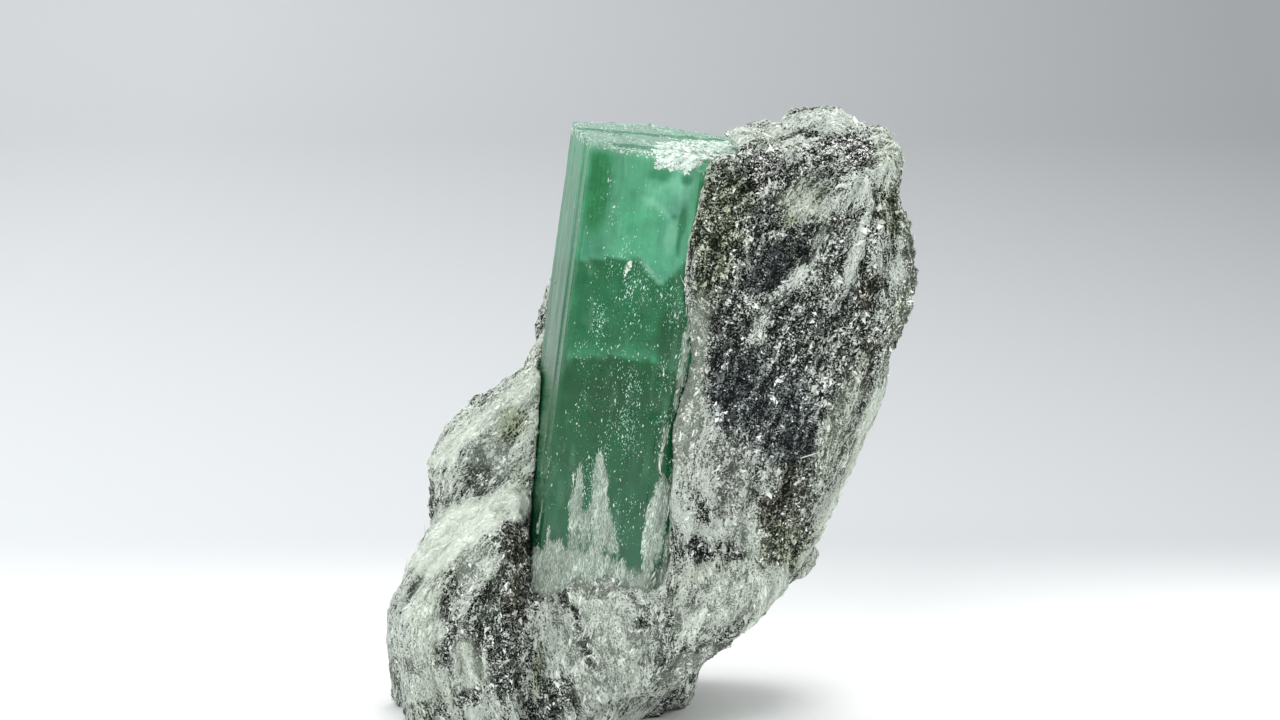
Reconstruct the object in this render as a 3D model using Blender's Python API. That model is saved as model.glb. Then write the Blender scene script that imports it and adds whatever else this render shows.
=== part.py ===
"""An emerald crystal standing in a loose piece of mica schist. Metres, +Z up, front towards -Y.

Two solids. schist_matrix is one stone: a slab beside the crystal, a wall behind it, a foot below it
and two lobes at its left. emerald_crystal is a leaning six-sided prism that stands in a socket of
that stone. The stone's flat base is on z = 0, and the middle of its box is on the axis.
"""

import math

import bmesh
import bpy
from mathutils import Matrix, Vector, noise

MM = 0.001

# The crystal: a six-sided prism. Its axis leans to the right, and its front face turns a little left.
CRYSTAL_RADIUS = 6.6 * MM  # from the axis to a corner
CRYSTAL_LENGTH = 26.6 * MM
CRYSTAL_TOP = Vector((1.25, 0.0, 33.2)) * MM  # middle of the end face
CRYSTAL_LEAN = math.radians(7.5)
CRYSTAL_TURN = math.radians(-19.0)
FRONT_LEFT, FRONT_RIGHT, LEFT = 0, 1, 5  # corners of the prism
STRIA_DEPTH = 0.10 * MM  # the long growth steps along the faces
STRIAE_PER_FACE = 5
BEVEL_DEPTH = 0.13 * MM  # the narrow faces on the two front corners
TAPER_DEPTH = 0.36 * MM  # the long thin face that takes the left corner off towards the top
TAPER_LENGTH = 13.5 * MM
# The flat growth steps on the end face: where each line starts and ends, and how deep it steps down.
STEPS = [
    ((-7.4, -3.4), (4.6, 7.0), 0.15),
    ((-3.6, -7.0), (7.4, 3.0), 0.32),
    ((0.6, -7.0), (7.6, -1.6), 0.50),
]
STEP_POINTS = 16
STEP_WANDER = 0.9 * MM
# The chips off its rim: how many faces along the rim, the radius of the hollow, and its bite, in mm.
CHIPS = [(0.20, 1.0, 0.14), (0.62, 1.5, 0.28), (0.86, 1.2, 0.40), (1.06, 1.6, 0.48), (1.42, 1.9, 0.36)]

# The stone.
SOCKET_GAP = 0.3 * MM
FINE_VOXEL = 0.42 * MM
STONE_TRIANGLES = 9800  # before the socket and the base are cut
RINGS = 9  # sections of a lobe from its front to its back
ROUNDNESS = 2.6  # 2 is an ellipse in depth, and more is flatter
LARGEST_SHARE = 0.985  # how far out the first and last ring of a lobe lie
LUMP_SIZE = 5.5 * MM
LUMP_HEIGHT = 0.50 * MM
LEDGE_SIZE = 3.0 * MM
LEDGE_HEIGHT = 0.95 * MM
RIDGE_SIZE = 1.9 * MM
RIDGE_HEIGHT = 0.46 * MM


class Lobe:
    """A swelling of the stone: its outline in X and Z, in millimetres, and its depth along Y."""

    def __init__(self, name, outline, middle, front, back, slant=0.0, roundness=ROUNDNESS, flats=()):
        self.name = name
        self.outline = [Vector((x, 0.0, z)) * MM for x, z in outline]
        self.middle = middle * MM
        self.front = front * MM
        self.back = back * MM
        self.slant = slant  # how far the mid-plane goes back for each millimetre to the right
        self.roundness = roundness
        self.flats = flats  # planes that the swelling is cut off by, each a point and a normal

    def centre(self):
        return sum(self.outline, Vector()) / len(self.outline)


SLAB = Lobe(
    "slab",
    [
        (2.6, 32.4), (3.4, 33.1), (5.0, 33.6), (6.4, 34.0), (8.0, 34.6), (9.4, 34.8),
        (11.3, 34.3), (12.7, 33.5), (14.0, 32.5), (14.6, 31.2), (14.7, 29.8), (15.1, 28.0),
        (14.9, 26.6), (14.5, 24.4), (13.2, 20.6), (12.3, 18.0), (11.1, 14.8), (10.0, 12.0),
        (8.8, 9.7), (7.8, 8.2), (5.4, 6.2), (2.6, 4.4), (-2.0, 5.0), (-2.6, 12.0), (-1.9, 20.0),
        (-1.1, 27.0), (0.6, 31.2),
    ],
    middle=0.0, front=7.3, back=5.0, slant=0.10,
    flats=[
        ((9.0, -5.9, 32.3), (0.07, -0.45, 0.89)),
        ((4.9, 0.0, 33.5), (-0.30, 0.06, 0.95)),
        ((14.3, -4.0, 24.0), (0.72, -0.66, 0.20)),
        ((12.6, 4.8, 24.0), (0.70, 0.71, 0.05)),
    ],
)  # fmt: skip
SHOULDER = Lobe(
    "shoulder",
    [
        (1.4, 24.0), (1.7, 27.0), (2.3, 30.5), (2.9, 33.0), (4.4, 33.7), (6.4, 34.0),
        (8.0, 33.8), (8.6, 31.0), (7.8, 26.0), (5.0, 23.0),
    ],
    middle=-2.5, front=4.7, back=3.5, roundness=6.0,
    flats=[
        ((4.0, -6.6, 33.0), (-0.05, -0.45, 0.89)),
        ((4.9, 0.0, 33.5), (-0.30, 0.06, 0.95)),
        ((5.5, -7.0, 29.0), (0.30, -0.95, 0.10)),
    ],
)  # fmt: skip
FOOT = Lobe(
    "foot",
    [
        (-9.2, -2.5), (-9.0, 4.0), (-8.2, 8.4), (-5.4, 10.4), (-2.4, 10.7), (2.0, 11.5),
        (6.0, 10.9), (8.4, 9.1), (7.0, 7.3), (5.8, 5.9), (4.4, 4.5), (3.2, 3.2), (2.4, 2.0),
        (1.9, 0.0), (1.7, -2.5),
    ],
    middle=0.4, front=8.6, back=8.8,
    flats=[
        ((2.5, 0.5, 0.0), (0.52, -0.43, -0.74)),
        ((-4.0, -8.2, 4.0), (-0.05, -0.97, -0.10)),
        ((2.0, 8.0, 4.0), (0.30, 0.92, 0.10)),
    ],
)  # fmt: skip
LOW_LOBE = Lobe(
    "low_lobe",
    [
        (-14.9, 4.2), (-14.7, 6.4), (-14.0, 8.6), (-12.9, 10.4), (-11.7, 11.8), (-9.8, 12.8),
        (-8.0, 13.2), (-7.0, 11.8), (-6.8, 4.5), (-7.0, -2.5), (-14.6, -2.5), (-15.0, 1.2),
    ],
    middle=-1.6, front=6.7, back=8.4,
    flats=[((-11.0, -7.2, 6.0), (-0.15, -0.96, 0.12)), ((-14.0, 3.0, 4.0), (-0.75, 0.65, 0.05))],
)  # fmt: skip
HIGH_LOBE = Lobe(
    "high_lobe",
    [
        (-13.1, 12.4), (-12.8, 14.0), (-11.6, 16.2), (-10.3, 17.5), (-8.9, 18.6), (-7.7, 19.5),
        (-6.7, 21.0), (-2.5, 22.5), (-2.0, 6.5), (-9.0, 5.5), (-12.5, 8.5), (-12.9, 11.0),
    ],
    middle=3.6, front=4.9, back=6.0,
    flats=[((-10.0, 8.8, 14.0), (-0.45, 0.86, 0.2))],
)  # fmt: skip
BACK_WALL = Lobe(
    "back_wall",
    [
        (-6.8, 22.4), (-6.2, 24.9), (-5.2, 25.8), (-2.6, 25.2), (0.4, 25.8), (2.2, 30.0),
        (3.3, 32.3), (4.2, 32.9), (6.4, 33.1), (9.8, 32.9), (11.0, 20.0), (9.6, 7.5), (2.0, 2.0),
        (-8.0, 1.5), (-8.2, 12.5),
    ],
    middle=5.6, front=5.4, back=4.0,
    flats=[((2.0, 9.0, 28.0), (-0.20, 0.93, 0.30))],
)  # fmt: skip
LOBES = (SLAB, SHOULDER, FOOT, LOW_LOBE, HIGH_LOBE, BACK_WALL)

# What of the crystal's front stays bare, in X and Z, in millimetres.
BARE_FRONT = [
    (-7.4, 9.2), (-7.0, 9.6), (-6.0, 10.1), (-4.6, 10.8), (-3.2, 10.6), (-2.1, 9.2), (-1.0, 8.1),
    (0.2, 7.7), (0.8, 9.6), (1.0, 12.4), (0.9, 15.8), (0.8, 18.2), (0.9, 20.4), (1.2, 22.8),
    (1.4, 25.1), (1.7, 27.3), (2.1, 29.8), (2.5, 31.6), (3.0, 32.5), (3.9, 33.1), (4.8, 33.4),
    (5.0, 40.0),
    (-5.6, 40.0), (-5.6, 32.0), (-6.9, 22.0),
]  # fmt: skip
BARE_BACK_Y = -1.0 * MM  # the bare space runs from here to in front of the stone
IN_FRONT_Y = -20.0 * MM
# What of the crystal's end face stays bare, in X and Y, in millimetres.
BARE_END = [(-12.0, -12.0), (4.9, -12.0), (4.8, -4.5), (4.6, -0.5), (3.2, 3.9), (2.2, 6.6), (-12.0, 6.6)]
BARE_END_HEIGHT = 5.0 * MM

# Grooves: the valley between the low lobe and the foot, the notch between the two left lobes, a
# crack in the foot, and a pit beside the crystal. Each bead is a place and a radius, in millimetres.
GROOVES = [
    [
        ((-8.2, -8.8, 10.4), 0.9), ((-8.3, -9.0, 6.0), 1.1), ((-7.9, -9.0, 2.0), 1.1),
        ((-7.4, -8.6, -1.0), 1.0),
    ],
    [((-14.0, -0.8, 12.2), 0.9), ((-12.0, -1.6, 13.4), 1.0), ((-9.4, -2.4, 14.4), 1.0)],
    [((-6.9, -8.6, 10.6), 0.6), ((-6.2, -8.9, 9.2), 0.7), ((-5.2, -9.3, 7.2), 0.6)],
    [((3.2, -8.1, 10.6), 0.8), ((3.1, -8.2, 9.8), 0.9)],
]  # fmt: skip
BEADS_PER_STEP = 4


def clear_scene():
    for thing in list(bpy.data.objects):
        bpy.data.objects.remove(thing, do_unlink=True)


def new_object(name, shape):
    """An object in the scene, from a bmesh, which is freed."""
    mesh = bpy.data.meshes.new(name)
    bmesh.ops.recalc_face_normals(shape, faces=shape.faces)
    shape.to_mesh(mesh)
    shape.free()
    thing = bpy.data.objects.new(name, mesh)
    bpy.context.scene.collection.objects.link(thing)
    return thing


def with_modifier(thing, kind, **settings):
    """The object's mesh as one modifier leaves it, kept as its own mesh."""
    modifier = thing.modifiers.new(kind.title(), kind)
    for key, value in settings.items():
        setattr(modifier, key, value)
    bpy.context.view_layer.update()
    graph = bpy.context.evaluated_depsgraph_get()
    old = thing.data
    made = bpy.data.meshes.new_from_object(thing.evaluated_get(graph))
    thing.modifiers.clear()
    thing.data = made
    bpy.data.meshes.remove(old)
    return thing


def boolean(thing, tool, operation):
    """Cuts or joins with the tool, which is then removed."""
    with_modifier(thing, "BOOLEAN", object=tool, operation=operation, solver="EXACT")
    bpy.data.objects.remove(tool, do_unlink=True)


def joined(things):
    """One object that holds all the meshes, which may still cross each other."""
    shape = bmesh.new()
    for thing in things:
        shape.from_mesh(thing.data)
        bpy.data.objects.remove(thing, do_unlink=True)
    return new_object("stone", shape)


def cut_away(thing, point, normal):
    """Takes off what lies beyond a plane, and closes the cut."""
    shape = bmesh.new()
    shape.from_mesh(thing.data)
    everything = list(shape.verts) + list(shape.edges) + list(shape.faces)
    cut = bmesh.ops.bisect_plane(
        shape, geom=everything, dist=1e-7, plane_co=point, plane_no=normal, clear_outer=True
    )
    edges = [e for e in cut["geom_cut"] if isinstance(e, bmesh.types.BMEdge)]
    filled = bmesh.ops.edgeloop_fill(shape, edges=edges)
    shape.normal_update()
    bmesh.ops.triangulate(shape, faces=filled["faces"])
    bmesh.ops.recalc_face_normals(shape, faces=shape.faces)
    shape.to_mesh(thing.data)
    shape.free()


def bridge(shape, lower, upper):
    count = len(lower)
    for i in range(count):
        j = (i + 1) % count
        shape.faces.new((lower[i], lower[j], upper[j], upper[i]))


def skin(name, rings):
    """A closed solid through rings that have the same number of points."""
    shape = bmesh.new()
    made = [[shape.verts.new(p) for p in ring] for ring in rings]
    for lower, upper in zip(made, made[1:]):
        bridge(shape, lower, upper)
    caps = [shape.faces.new(made[0]), shape.faces.new(made[-1])]
    shape.normal_update()
    bmesh.ops.triangulate(shape, faces=caps)
    return new_object(name, shape)


def moved(points, offset, scale=1.0):
    return [p * scale + offset for p in points]


def up(height):
    return Vector((0.0, 0.0, height))


# ---------------------------------------------------------------- the crystal


def crystal_place():
    """From the crystal's own frame, its axis on +Z and its end face at zero, to the outlines' frame."""
    lean = Matrix.Rotation(CRYSTAL_LEAN, 4, "Y")
    turn = Matrix.Rotation(CRYSTAL_TURN, 4, "Z")
    return Matrix.Translation(CRYSTAL_TOP) @ lean @ turn


def hexagon(radius):
    """Six corners round the crystal's axis, with one face square to -Y before the crystal is turned."""
    angles = [math.radians(60 * i - 120) for i in range(6)]
    return [Vector((radius * math.cos(a), radius * math.sin(a), 0.0)) for a in angles]


def striated_hexagon():
    """The hexagon with each face cut into long strips that step in by up to STRIA_DEPTH."""
    corners = hexagon(CRYSTAL_RADIUS)
    points = []
    for face, corner in enumerate(corners):
        along = corners[(face + 1) % 6] - corner
        inward = Vector((-along.y, along.x, 0.0)).normalized()
        for strip in range(STRIAE_PER_FACE):
            chance = 2 * abs(noise.noise(Vector((face * 3.7, strip * 1.9, 0.5))))
            depth = inward * min(chance, 1.0) * STRIA_DEPTH
            for share in (strip + 0.1, strip + 0.9):
                points.append(corner + along * share / STRIAE_PER_FACE + depth)
    return points


def step_cutter(start, end, depth):
    """Takes a thin layer off the end face on the front right of a wandering line from start to end."""
    start, end = Vector((*start, 0.0)) * MM, Vector((*end, 0.0)) * MM
    side = (end - start).cross(up(1.0)).normalized()
    line = []
    for i in range(STEP_POINTS):
        place = start.lerp(end, i / (STEP_POINTS - 1))
        line.append(place + side * STEP_WANDER * noise.noise(place / STEP_WANDER))
    outline = line + [end + side * 3 * CRYSTAL_RADIUS, start + side * 3 * CRYSTAL_RADIUS]
    return skin("step", [moved(outline, up(-depth * MM)), moved(outline, up(MM))])


def chip(share, radius, bite):
    """A ball that bites a hollow into the rim of the end face, a share of the way along the front."""
    corners = hexagon(CRYSTAL_RADIUS)
    face = int(share)
    place = corners[face].lerp(corners[face + 1], share - face) - up(0.3 * MM)
    outward = (place.normalized() + up(0.9)).normalized()
    shape = bmesh.new()
    middle = Matrix.Translation(place + outward * (radius - bite))
    bmesh.ops.create_icosphere(shape, subdivisions=3, radius=radius, matrix=middle)
    return new_object("chip", shape)


def make_crystal():
    """The striated prism with narrow corner faces, low steps on its end face and chips off its rim."""
    outline = striated_hexagon()
    crystal = skin("emerald_crystal", [moved(outline, up(-CRYSTAL_LENGTH)), outline])
    corners = hexagon(CRYSTAL_RADIUS)
    for corner in (corners[FRONT_LEFT], corners[FRONT_RIGHT]):
        outward = corner.normalized()
        cut_away(crystal, corner - outward * BEVEL_DEPTH, outward)
    slope = corners[LEFT].normalized() + up(TAPER_DEPTH / TAPER_LENGTH)
    cut_away(crystal, corners[LEFT] - up(TAPER_LENGTH), slope)
    for start, end, depth in STEPS:
        boolean(crystal, step_cutter(start, end, depth), "DIFFERENCE")
    for share, radius, bite in CHIPS:
        boolean(crystal, chip(share, radius * MM, bite * MM), "DIFFERENCE")
    crystal.data.transform(crystal_place())
    return crystal


def make_socket():
    """The crystal's space in the stone: its plain hexagon, wider and longer by the gap."""
    corners = hexagon(CRYSTAL_RADIUS + SOCKET_GAP / math.cos(math.radians(30)))
    ends = [moved(corners, up(-CRYSTAL_LENGTH - SOCKET_GAP)), moved(corners, up(SOCKET_GAP))]
    place = crystal_place()
    return skin("socket", [[place @ p for p in end] for end in ends])


def make_end_space():
    """The space over the bare part of the end face, from the face upwards."""
    tilt = crystal_place().to_3x3() @ up(1.0)
    outline = []
    for x, y in BARE_END:
        away = Vector((x, y, 0.0)) * MM - CRYSTAL_TOP
        outline.append(CRYSTAL_TOP + away - up(away.dot(tilt) / tilt.z))
    return skin("end_space", [outline, moved(outline, up(BARE_END_HEIGHT))])


# ------------------------------------------------------------------ the stone


def make_lobe(lobe):
    """Rings of the outline, each smaller towards the front and the back, cut off by the lobe's flats."""
    centre = lobe.centre()
    rings = []
    for i in range(RINGS):
        share = LARGEST_SHARE * (2 * i / (RINGS - 1) - 1)
        size = (1 - abs(share) ** lobe.roundness) ** (1 / lobe.roundness)
        depth = lobe.middle + share * (lobe.front if share < 0 else lobe.back)
        ring = [centre + (corner - centre) * size for corner in lobe.outline]
        rings.append([Vector((p.x, depth + lobe.slant * (p.x - centre.x), p.z)) for p in ring])
    made = skin(lobe.name, rings)
    for point, normal in lobe.flats:
        cut_away(made, Vector(point) * MM, Vector(normal))
    return made


def make_groove(beads):
    """A cutter for a groove: balls that overlap from bead to bead, made one body."""
    balls = []
    for (start, first), (end, last) in zip(beads, beads[1:]):
        for step in range(BEADS_PER_STEP + 1):
            share = step / BEADS_PER_STEP
            place = Matrix.Translation(Vector(start).lerp(Vector(end), share) * MM)
            shape = bmesh.new()
            radius = (first + (last - first) * share) * MM
            bmesh.ops.create_icosphere(shape, subdivisions=2, radius=radius, matrix=place)
            balls.append(new_object("bead", shape))
    return with_modifier(joined(balls), "REMESH", mode="VOXEL", voxel_size=FINE_VOXEL / 2)


def make_bare_space():
    outline = [Vector((x, 0.0, z)) * MM for x, z in BARE_FRONT]
    ends = [[Vector((p.x, y, p.z)) for p in outline] for y in (IN_FRONT_Y, BARE_BACK_Y)]
    return skin("bare_space", ends)


def streak_line(place):
    """Which streak of the schist a place lies on: they run down the slab and bend in at its foot."""
    if place.x < -6.6 * MM:
        return place.x - 0.55 * max(place.z - 11 * MM, 0.0)
    return place.x - 0.25 * place.z + 6 * MM * math.exp(-place.z / (6 * MM))


def stepped(value, steps):
    """The value with most of its rise drawn together into steps."""
    return 0.7 * math.floor(value * steps) / steps + 0.3 * value


def stone_relief(place):
    """How far the skin stands out there: round lumps, long ledges, and ridges along the streaks."""
    along = Vector((streak_line(place), place.y * 0.8, place.z * 0.24))
    lump = noise.noise(place / LUMP_SIZE)
    ledge = stepped(noise.noise(along / LEDGE_SIZE + Vector((7.1, 3.3, 1.7))), 3.2)
    ridge = 0.3 - 2 * abs(noise.noise(along / RIDGE_SIZE))
    return LUMP_HEIGHT * lump + LEDGE_HEIGHT * ledge + RIDGE_HEIGHT * ridge


def raise_relief(thing):
    mesh = thing.data
    moves = [v.normal * stone_relief(v.co) for v in mesh.vertices]
    for vertex, move in zip(mesh.vertices, moves):
        vertex.co += move
    mesh.update()


def bodies_of(shape):
    """The vertices of each separate body, smallest first."""
    unseen = set(shape.verts)
    bodies = []
    while unseen:
        ahead = [unseen.pop()]
        body = []
        while ahead:
            vertex = ahead.pop()
            body.append(vertex)
            near = [e.other_vert(vertex) for e in vertex.link_edges]
            new = [v for v in near if v in unseen]
            unseen.difference_update(new)
            ahead += new
        bodies.append(body)
    return sorted(bodies, key=len)


def drop_crumbs(thing):
    """Keeps only the largest body."""
    shape = bmesh.new()
    shape.from_mesh(thing.data)
    for body in bodies_of(shape)[:-1]:
        bmesh.ops.delete(shape, geom=body, context="VERTS")
    shape.to_mesh(thing.data)
    shape.free()


def triangle_count(thing):
    thing.data.calc_loop_triangles()
    return len(thing.data.loop_triangles)


def make_stone():
    stone = joined([make_lobe(lobe) for lobe in LOBES])
    with_modifier(stone, "REMESH", mode="VOXEL", voxel_size=FINE_VOXEL)
    for cutter in [make_bare_space()] + [make_groove(beads) for beads in GROOVES]:
        boolean(stone, cutter, "DIFFERENCE")
    with_modifier(stone, "REMESH", mode="VOXEL", voxel_size=FINE_VOXEL)
    with_modifier(stone, "SMOOTH", factor=0.5, iterations=4)
    raise_relief(stone)
    with_modifier(stone, "DECIMATE", ratio=STONE_TRIANGLES / triangle_count(stone))
    for cutter in (make_socket(), make_end_space()):
        boolean(stone, cutter, "DIFFERENCE")
    cut_away(stone, Vector(), Vector((0.0, 0.0, -1.0)))
    drop_crumbs(stone)
    stone.name = "schist_matrix"
    return stone


# -------------------------------------------------------------- putting it up


def give_material(thing, name, colour, roughness, transmission=0.0):
    material = bpy.data.materials.new(name)
    material.use_nodes = True
    shader = material.node_tree.nodes["Principled BSDF"]
    shader.inputs["Base Color"].default_value = (*colour, 1.0)
    shader.inputs["Roughness"].default_value = roughness
    shader.inputs["Metallic"].default_value = 0.0
    shader.inputs["Transmission Weight"].default_value = transmission
    thing.data.materials.clear()
    thing.data.materials.append(material)


def stand_on_origin(stone, crystal):
    """Moves both so that the middle of the stone's box is on the axis."""
    xs = [v.co.x for v in stone.data.vertices]
    ys = [v.co.y for v in stone.data.vertices]
    middle = Vector(((min(xs) + max(xs)) / 2, (min(ys) + max(ys)) / 2, 0.0))
    for thing in (stone, crystal):
        thing.data.transform(Matrix.Translation(-middle))


def main():
    clear_scene()
    stone = make_stone()
    crystal = make_crystal()
    stand_on_origin(stone, crystal)
    give_material(stone, "mica_schist", (0.33, 0.35, 0.32), 0.6)
    give_material(crystal, "emerald", (0.10, 0.42, 0.22), 0.12, 0.8)
    stone.data.shade_smooth()
    stone.data.set_sharp_from_angle(angle=math.radians(35))


main()
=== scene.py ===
"""The looks of an emerald crystal in a piece of mica schist.

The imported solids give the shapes. The stone gets a fine skin and a cover of mica flakes that follow
its grain, and the crystal gets striae, inclusions and the mica that has grown on it. Lengths are in
millimetres in numpy arrays, and in metres in Blender's meshes. +Z is up, and the front is -Y.
"""

import math

import bmesh
import bpy
import numpy as np
from mathutils import Matrix, Vector


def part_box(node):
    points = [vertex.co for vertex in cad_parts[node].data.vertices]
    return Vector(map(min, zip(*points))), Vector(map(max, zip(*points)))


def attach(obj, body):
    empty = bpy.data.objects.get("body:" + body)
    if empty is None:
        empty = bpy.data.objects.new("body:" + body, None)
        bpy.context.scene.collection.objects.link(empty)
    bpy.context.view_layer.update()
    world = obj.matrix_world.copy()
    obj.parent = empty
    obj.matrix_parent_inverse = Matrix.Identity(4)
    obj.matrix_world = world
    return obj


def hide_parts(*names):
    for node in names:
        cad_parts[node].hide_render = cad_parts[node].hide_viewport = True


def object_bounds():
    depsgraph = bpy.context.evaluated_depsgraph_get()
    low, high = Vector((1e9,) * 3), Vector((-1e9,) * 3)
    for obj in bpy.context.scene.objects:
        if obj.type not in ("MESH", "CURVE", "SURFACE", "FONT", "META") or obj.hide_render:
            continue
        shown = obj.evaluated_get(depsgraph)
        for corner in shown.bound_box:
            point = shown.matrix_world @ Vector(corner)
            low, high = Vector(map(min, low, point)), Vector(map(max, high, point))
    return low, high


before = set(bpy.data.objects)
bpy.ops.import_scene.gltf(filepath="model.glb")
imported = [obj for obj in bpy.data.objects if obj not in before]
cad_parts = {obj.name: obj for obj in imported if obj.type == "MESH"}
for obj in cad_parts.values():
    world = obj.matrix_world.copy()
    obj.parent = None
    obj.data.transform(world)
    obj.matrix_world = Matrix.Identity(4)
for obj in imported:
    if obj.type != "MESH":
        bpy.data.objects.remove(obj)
CAD_BOX = [list(corner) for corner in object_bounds()]
MM = 0.001
STONE_NODE = "schist_matrix"
CRYSTAL_NODE = "emerald_crystal"

# The places of the crystal, the camera and the patches are given as they were before the stone's
# middle was set on the axis. SHIFT takes them to the frame. It is worked out from where the crystal's
# lowest corner was and is.
CRYSTAL_LOW = np.array([-8.2867, -6.3732, 6.0233])
SHIFT = np.array(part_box(CRYSTAL_NODE)[0]) / MM - CRYSTAL_LOW

# The crystal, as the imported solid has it: the middle of its end face, how it stands, and its radius.
CRYSTAL_TOP = np.array([1.25, 0.0, 33.2]) + SHIFT
CRYSTAL_LEAN = math.radians(7.5)
CRYSTAL_TURN = math.radians(-19.0)
CRYSTAL_RADIUS = 6.6
FACE_DISTANCE = CRYSTAL_RADIUS * math.cos(math.radians(30))
LEFT_FACE = 5  # of the prism's six, counted from the front face

# The camera.
VIEW_ELEVATION = math.radians(9.3)
VIEW_DISTANCE = 250.0
VIEW_WIDTH = 73.6
VIEW_TARGET = np.array([-0.86, 0.0, 20.5]) + SHIFT
SENSOR_WIDTH = 36.0
FRONT_OFFSET = 0.18  # what from_front adds across, found by comparing a render with the photo

# The stone's skin: how high its relief is, and how its rim closes up to the crystal.
SKIN_VOXEL = 0.211
ROOM = 0.025  # how far a piece may stand outside the solids' box, as a share of the box
RIDGE_HEIGHT = 0.19
FINE_RIDGE_HEIGHT = 0.11
CRAG_HEIGHT = 0.10
GRIT_HEIGHT = 0.10
STREAK_HEIGHT = 0.30
MINERAL_STEP = 0.34  # how far pale minerals stand above dark ones
RIM_REACH = (0.36, 1.3)
RIM_PULL = 0.29
RIM_GAP = 0.02

# Its flakes. A pair of numbers is for stone that runs in threads and for stone that is granular.
FLAKE_PIECES = 4
FLAKES_PER_PIECE = 33500
FLAKE_LENGTHS = (0.22, 0.14)
FLAKE_LIMITS = (0.06, 0.95)
FLAKE_SPREADS = ((17, 70), (14, 32), (6, 22))
SLIVER_SHARES = (0.42, 0.06)
SLIVER_LENGTH = 2.1  # for a flake's length
SLIVER_WIDTHS = (0.025, 0.055)
# Painted glints: a share of the bright flakes, larger where the stone is dark, takes a near-white tone as a
# painted highlight.
PAINTED_GLINT_SHARE = 0.04
PAINTED_GLINT_SHARE_IN_DARK = 0.32
PAINTED_GLINT_TONE = (244, 248, 244)

# Its fibres, and the one long needle on the slab, which is placed as seen from the front.
HAIRS = 700
HAIR_STEPS = 6
HAIR_LENGTH = 0.62
HAIR_LIMITS = (0.25, 1.5)
HAIR_SPREAD = 28
HAIR_TONES = ((176, 184, 174), (244, 248, 242))
NEEDLE_PLACE = (8.85, 14.8)
NEEDLE_LEAN = math.radians(74)
NEEDLE_LENGTH = 1.3
NEEDLE_STOUTNESS = 2.4

# The crystal's mesh: its cells across the front, over the end from front to back, and along it, how
# high the striae are, how much higher on the left face, how deep the pits, and how rough the end.
CRYSTAL_CELL = (0.09, 0.25, 0.25)
STRIAE_HEIGHT = 0.006
STRIAE_GAIN_LEFT = 3.0
PIT_DEPTH = 0.05
END_RELIEF = 0.09
FINE_END_RELIEF = 0.03

# Seeds of the noises, and of the random draws.
RIDGE_SEED = 11
MINERAL_SEED = 5
GREEN_SEED = 23
STRIAE_SEED = 29
GROWTH_SEED = 37
SHADE_SEED = 53
FLAKE_DRAW = 100
GROWTH_DRAW = 41
HAIR_DRAW = 71

# Optics.
EMERALD_IOR = 1.577
EMERALD_CLEARNESS = 0.5
EMERALD_ABSORPTION = (0.22, 0.86, 0.50, 1.0)
EMERALD_DENSITY = 150.0
MICA_IOR = 1.58
MICA_SPECULAR = 0.1

# The stage: a flat floor, a bend and a wall far behind the part. It turns from white to grey over a
# short way behind the part, and the grey gets darker from left to right.
STAGE_SIDE = 1500.0
STAGE_FRONT = -1500.0
STAGE_BACK = 300.0
STAGE_LEVEL = -0.02
STAGE_BEND = 100.0
STAGE_TOP = 900.0
STAGE_WHITE = (242, 243, 243)
GREY_LEFT = (214, 217, 219)
GREY_RIGHT = (166, 169, 172)
GREY_STARTS = 12.0
GREY_FULL = 50.0
GREY_SPAN = (-60.0, 80.0)
WORLD_COLOUR = (0.91, 0.93, 0.94, 1)
WORLD_STRENGTH = 0.38

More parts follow.
